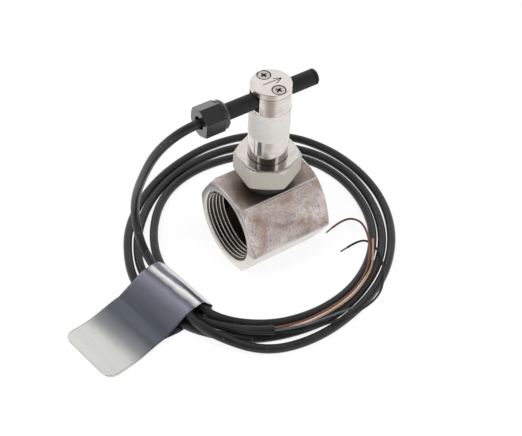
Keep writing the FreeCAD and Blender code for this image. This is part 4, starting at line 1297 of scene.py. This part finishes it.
@dataclass
class Cap:
    """The round cap with its engraved arrow and two countersunk cross-recess screws."""

    finish: Finishes
    top: float = 117.7
    bottom: float = 114.5
    radius: float = 10.9
    edge: float = 0.5
    screw_y: float = 6.9
    head_r: float = 3.35
    head_top: float = 117.62
    head_depth: float = 1.7
    shank_r: float = 1.9
    shank_bottom: float = 108.0
    arrow_tail: tuple[float, float] = (-4.9, 0.4)
    arrow_tip: tuple[float, float] = (6.5, 0.3)
    barbs: tuple[tuple[float, float], ...] = ((2.2, 2.0), (2.0, -1.9))
    line_width: float = 0.5
    line_depth: float = 0.42

    def disc(self) -> None:
        """Turns the cap, sinks its two screw holes and engraves the arrow."""
        top, low, rim, edge = self.top, self.bottom, self.radius, self.edge
        profile = [(0.0, low), (rim - 0.2, low), (rim, low + 0.2)]
        for step in range(5):
            angle = math.pi / 2 * step / 4
            profile.append(
                (rim - edge + edge * math.cos(angle), top - edge + edge * math.sin(angle))
            )
        profile += [(rim - edge - 0.15, top), (0.0, top)]
        cap = solid("engraved_cap", turned(profile, 128))
        sink = self.head_r + 0.42
        for side in (-1, 1):
            shape = turned(
                [
                    (0.0, top + 1.0), (sink + 0.1, top + 1.0), (sink + 0.1, top - 0.05),
                    (sink - 1.85, top - 1.95), (sink - 1.85, low - 1.0), (0.0, low - 1.0)
                ],
                64
            )
            bmesh.ops.translate(shape, verts=shape.verts, vec=(0, side * self.screw_y * MM, 0))
            cut(cap, solid("countersink", shape))
        lines = [(self.arrow_tail, self.arrow_tip)] + [
            (barb, self.arrow_tip) for barb in self.barbs
        ]
        for count, (start, end) in enumerate(lines):
            # no two cutters share a face
            rise = 0.4 + 0.13 * count
            ends = [(spot[0], spot[1], top + rise) for spot in (start, end)]
            engrave(cap, *ends, self.line_width, rise + self.line_depth - 0.04 * count)
        crisp(cap, 30.0)
        attach(cap, self.finish, "cap_steel", "housing", "clamp_cap")

    def screws(self) -> None:
        """Builds one screw and sets it twice with Geometry Nodes."""
        slope = self.head_top - self.head_depth
        head = solid(
            "screw",
            turned(
                [
                    (0, self.head_top), (self.head_r - 0.2, self.head_top),
                    (self.head_r, self.head_top - 0.2), (self.shank_r, slope),
                    (self.shank_r, self.shank_bottom), (0, self.shank_bottom)
                ],
                48
            )
        )
        for x, y in ((1.8, 0.0), (0.0, 1.8)):
            over = self.head_top + 0.3
            engrave(head, (-x, -y, over), (x, y, over), 1.0, 1.6)
        crisp(head, 30.0)
        spots = bpy.data.meshes.new("screw_spots")
        spots.from_pydata([(0, -self.screw_y * MM, 0), (0, self.screw_y * MM, 0)], [], [])
        turn = spots.attributes.new("turn", "FLOAT", "POINT")
        turn.data[0].value = math.radians(28)
        turn.data[1].value = math.radians(8)
        recipe = Recipe("cap_screw_pair")
        tree = recipe.tree
        screw = recipe.size("Screw", head, "NodeSocketObject")
        info = add(tree, "GeometryNodeObjectInfo", {"Object": screw})
        angle = add(tree, "GeometryNodeInputNamedAttribute", {"Name": "turn"}, data_type="FLOAT")
        spin = add(tree, "ShaderNodeCombineXYZ", {2: angle.outputs[0]})
        pair = add(
            tree, "GeometryNodeInstanceOnPoints",
            {
                "Points": recipe.entry.outputs["Geometry"], "Instance": info.outputs["Geometry"],
                "Rotation": spin.outputs[0]
            }
        )
        screws = recipe.run(
            "cross_recess_screws", pair.outputs[0], self.finish["screw_steel"], spots
        )
        bpy.data.objects.remove(head)
        attach(screws, self.finish, "screw_steel", "housing", "cap_screws")

    def build(self) -> None:
        """Builds the cap and its screws."""
        self.disc()
        self.screws()


def round_edges(thing: Thing, width: float) -> None:
    """Rounds an object's sharp edges.

    Args:
        thing: the object.
        width: the rounding in millimetres.
    """
    bevel = thing.modifiers.new("round", "BEVEL")
    bevel.width = width * MM
    bevel.segments = 2
    bevel.limit_method = "ANGLE"
    bevel.angle_limit = math.radians(40)
    settle(thing)
    crisp(thing)


def dress(record: dict, finish: Finishes) -> None:
    """Gives every node of the frame the finish of its slot.

    Args:
        record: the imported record.
        finish: the material of each slot.
    """
    slots = {part["node"]: part["material_slot"] for part in record["subparts"]}
    for name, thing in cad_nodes.items():
        if not thing.material_slots:
            thing.data.materials.append(finish[slots[name]])
        for spot in thing.material_slots:
            spot.material = finish[slots[name]]


# ---------------------------------------------------------------- studio


@dataclass
class Studio:
    """White floor, soft lamps and the camera of the photograph."""

    lens: float = 76.62
    eye: Point = (-255.279, -353.216, 479.467)
    right: Point = (0.83309, -0.55206, 0.03437)
    up: Point = (0.38244, 0.61979, 0.68528)
    forward: Point = (0.39962, 0.55775, -0.72747)
    ambient: float = 0.4
    floor_half: float = 4.0
    floor_share: float = 0.86
    # the side of the room behind the camera is dark in the steel: share, angles in degrees
    dark: float = 0.12
    dark_from: float = 12.0
    dark_to: float = 48.0
    side: float = 0.42
    side_from: float = -0.64
    side_to: float = -0.2
    grey_from: float = 0.25
    grey_to: float = 0.55
    # two soft boxes as the steel sees them: places, light, angles in degrees
    strips: tuple[Point, ...] = ((-660.0, 20.0, 700.0), (250.0, -640.0, 690.0))
    strip_level: float = 1.3
    strip_from: float = 9.0
    strip_to: float = 4.0
    # the floor before the camera is darker and warmer in the steel
    front_at: float = 190.0
    front_from: float = 50.0
    front_to: float = 130.0
    front_dark: float = 0.3
    front_tone: tuple[float, ...] = (1.0, 0.86, 0.7, 1.0)
    lamps: tuple[tuple[str, Point, float, float], ...] = (
        ("key", (-660.0, 20.0, 700.0), 400.0, 5.0), ("fill", (250.0, -640.0, 690.0), 400.0, 3.5),
        ("top", (-50.0, -100.0, 950.0), 600.0, 4.0)
    )

    def camera(self) -> None:
        """Sets the camera where the photograph was taken from."""
        data = bpy.data.cameras.new("photo_camera")
        data.sensor_width = 36.0
        data.sensor_fit = "HORIZONTAL"
        data.lens = self.lens
        data.clip_start = 0.01
        data.clip_end = 20.0
        thing = place("photo_camera", data)
        side, top, back = Vector(self.right), Vector(self.up), -Vector(self.forward)
        side.normalize()
        back.normalize()
        top = back.cross(side).normalized()
        side = top.cross(back).normalized()
        matrix = Matrix((side, top, back)).transposed().to_4x4()
        matrix.translation = Vector(self.eye) * MM
        thing.matrix_world = matrix
        bpy.context.scene.camera = thing

    def lights(self) -> None:
        """Hangs the soft lamps round the object."""
        for name, spot, size, power in self.lamps:
            data = bpy.data.lights.new(name, "AREA")
            data.shape = "DISK"
            data.size = size * MM
            data.energy = power
            thing = place(name, data)
            thing.visible_glossy = False
            place_at = Vector(spot) * MM
            aim = (Vector((0, 0, 0.04)) - place_at).to_track_quat("-Z", "Y")
            thing.matrix_world = Matrix.Translation(place_at) @ aim.to_matrix().to_4x4()

    def world(self) -> None:
        """Makes the room white to the eye, dark behind the camera to mirrors, mild as a light."""
        world = bpy.data.worlds.new("white_room")
        world.use_nodes = True
        tree = world.node_tree
        tree.nodes.clear()
        seen = self.seen(tree)
        way = add(tree, "ShaderNodeTexCoord").outputs["Generated"]
        toward = facing(tree, way, tuple(-value for value in self.forward))
        room = remap(
            tree, toward, math.cos(math.radians(self.dark_to)),
            math.cos(math.radians(self.dark_from)), 1.0, self.dark, smooth=True
        )
        # above the horizon the sides of the room are grey, its back is white
        ahead = Vector((-self.forward[0], -self.forward[1], 0)).normalized()
        turned_to = facing(tree, way, ahead)
        sides = remap(tree, turned_to, self.side_from, self.side_to, 1.0, self.side, smooth=True)
        split = add(tree, "ShaderNodeSeparateXYZ", {0: way})
        high = remap(tree, split.outputs["Z"], self.grey_from, self.grey_to, smooth=True)
        upper = between(tree, high, 1.0, sides)
        glare = calc(tree, "MULTIPLY", upper, room)
        for spot in self.strips:
            near = facing(tree, way, Vector(spot).normalized())
            strip = remap(
                tree, near, math.cos(math.radians(self.strip_from)),
                math.cos(math.radians(self.strip_to)), 0.0, self.strip_level, smooth=True
            )
            glare = calc(tree, "MAXIMUM", glare, strip)
        path = add(tree, "ShaderNodeLightPath")
        mirror = between(tree, path.outputs["Is Glossy Ray"], 1.0, glare)
        level = between(tree, seen, self.ambient, mirror)
        light = add(tree, "ShaderNodeBackground", {"Color": "#FFFFFF", "Strength": level})
        add(tree, "ShaderNodeOutputWorld", {"Surface": light.outputs[0]})
        bpy.context.scene.world = world

    def seen(self, tree: Tree) -> Socket:
        """Tells whether a ray comes from the eye, a mirror or through glass.

        Args:
            tree: the tree that asks.

        Returns:
            A socket that is 1 for such a ray.
        """
        path = add(tree, "ShaderNodeLightPath")
        first = calc(tree, "MAXIMUM", path.outputs["Is Camera Ray"], path.outputs["Is Glossy Ray"])
        return calc(tree, "MAXIMUM", first, path.outputs["Is Transmission Ray"])

    def floor(self) -> None:
        """Lays a white floor that still takes a soft shadow."""
        shape = bmesh.new()
        bmesh.ops.create_grid(shape, x_segments=1, y_segments=1, size=self.floor_half)
        mesh = bpy.data.meshes.new("white_floor")
        shape.to_mesh(mesh)
        shape.free()
        material = bpy.data.materials.new("white_paper")
        material.use_nodes = True
        tree = material.node_tree
        tree.nodes.clear()
        diffuse = add(tree, "ShaderNodeBsdfDiffuse", {"Color": "#F4F4F4"})
        glow = add(tree, "ShaderNodeEmission")
        where = add(tree, "ShaderNodeTexCoord").outputs["Object"]
        front = Vector((-self.forward[0], -self.forward[1], 0)).normalized() * self.front_at * MM
        away = add(tree, "ShaderNodeVectorMath", {0: where, 1: tuple(front)}, operation="DISTANCE")
        pale = remap(
            tree, away.outputs["Value"], self.front_from * MM, self.front_to * MM, self.front_dark,
            1.0, smooth=True
        )
        path = add(tree, "ShaderNodeLightPath")
        strength = between(tree, path.outputs["Is Camera Ray"], pale, 1.0)
        warm = tinted(tree, strength, self.front_tone, "#FFFFFF")
        feed(tree, glow, {"Color": warm, "Strength": strength})
        share = calc(tree, "MULTIPLY", self.seen(tree), self.floor_share)
        mixed = add(
            tree, "ShaderNodeMixShader", {0: share, 1: diffuse.outputs[0], 2: glow.outputs[0]}
        )
        add(tree, "ShaderNodeOutputMaterial", {"Surface": mixed.outputs[0]})
        mesh.materials.append(material)
        place("white_floor", mesh)

    def build(self) -> None:
        """Builds the studio."""
        self.camera()
        self.lights()
        self.world()
        self.floor()
        bpy.context.scene.view_settings.view_transform = "Standard"
        LOG.info("studio")


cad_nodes: dict[str, Thing] = {}


def main() -> None:
    """Builds the scene from the frame, the cable first."""
    logging.basicConfig(level=logging.INFO, format="%(name)s: %(message)s")
    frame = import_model()
    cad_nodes.update(frame["nodes"])
    Studio().build()
    finish = finishes()
    dress(frame["record"], finish)
    line = Lead(finish).build()
    Flag(finish, line).build()
    TurnedBody(finish).build()
    PipeThreads(finish).build()
    Cap(finish).build()
    bpy.context.view_layer.update()


if __name__ == "__main__":
    main()
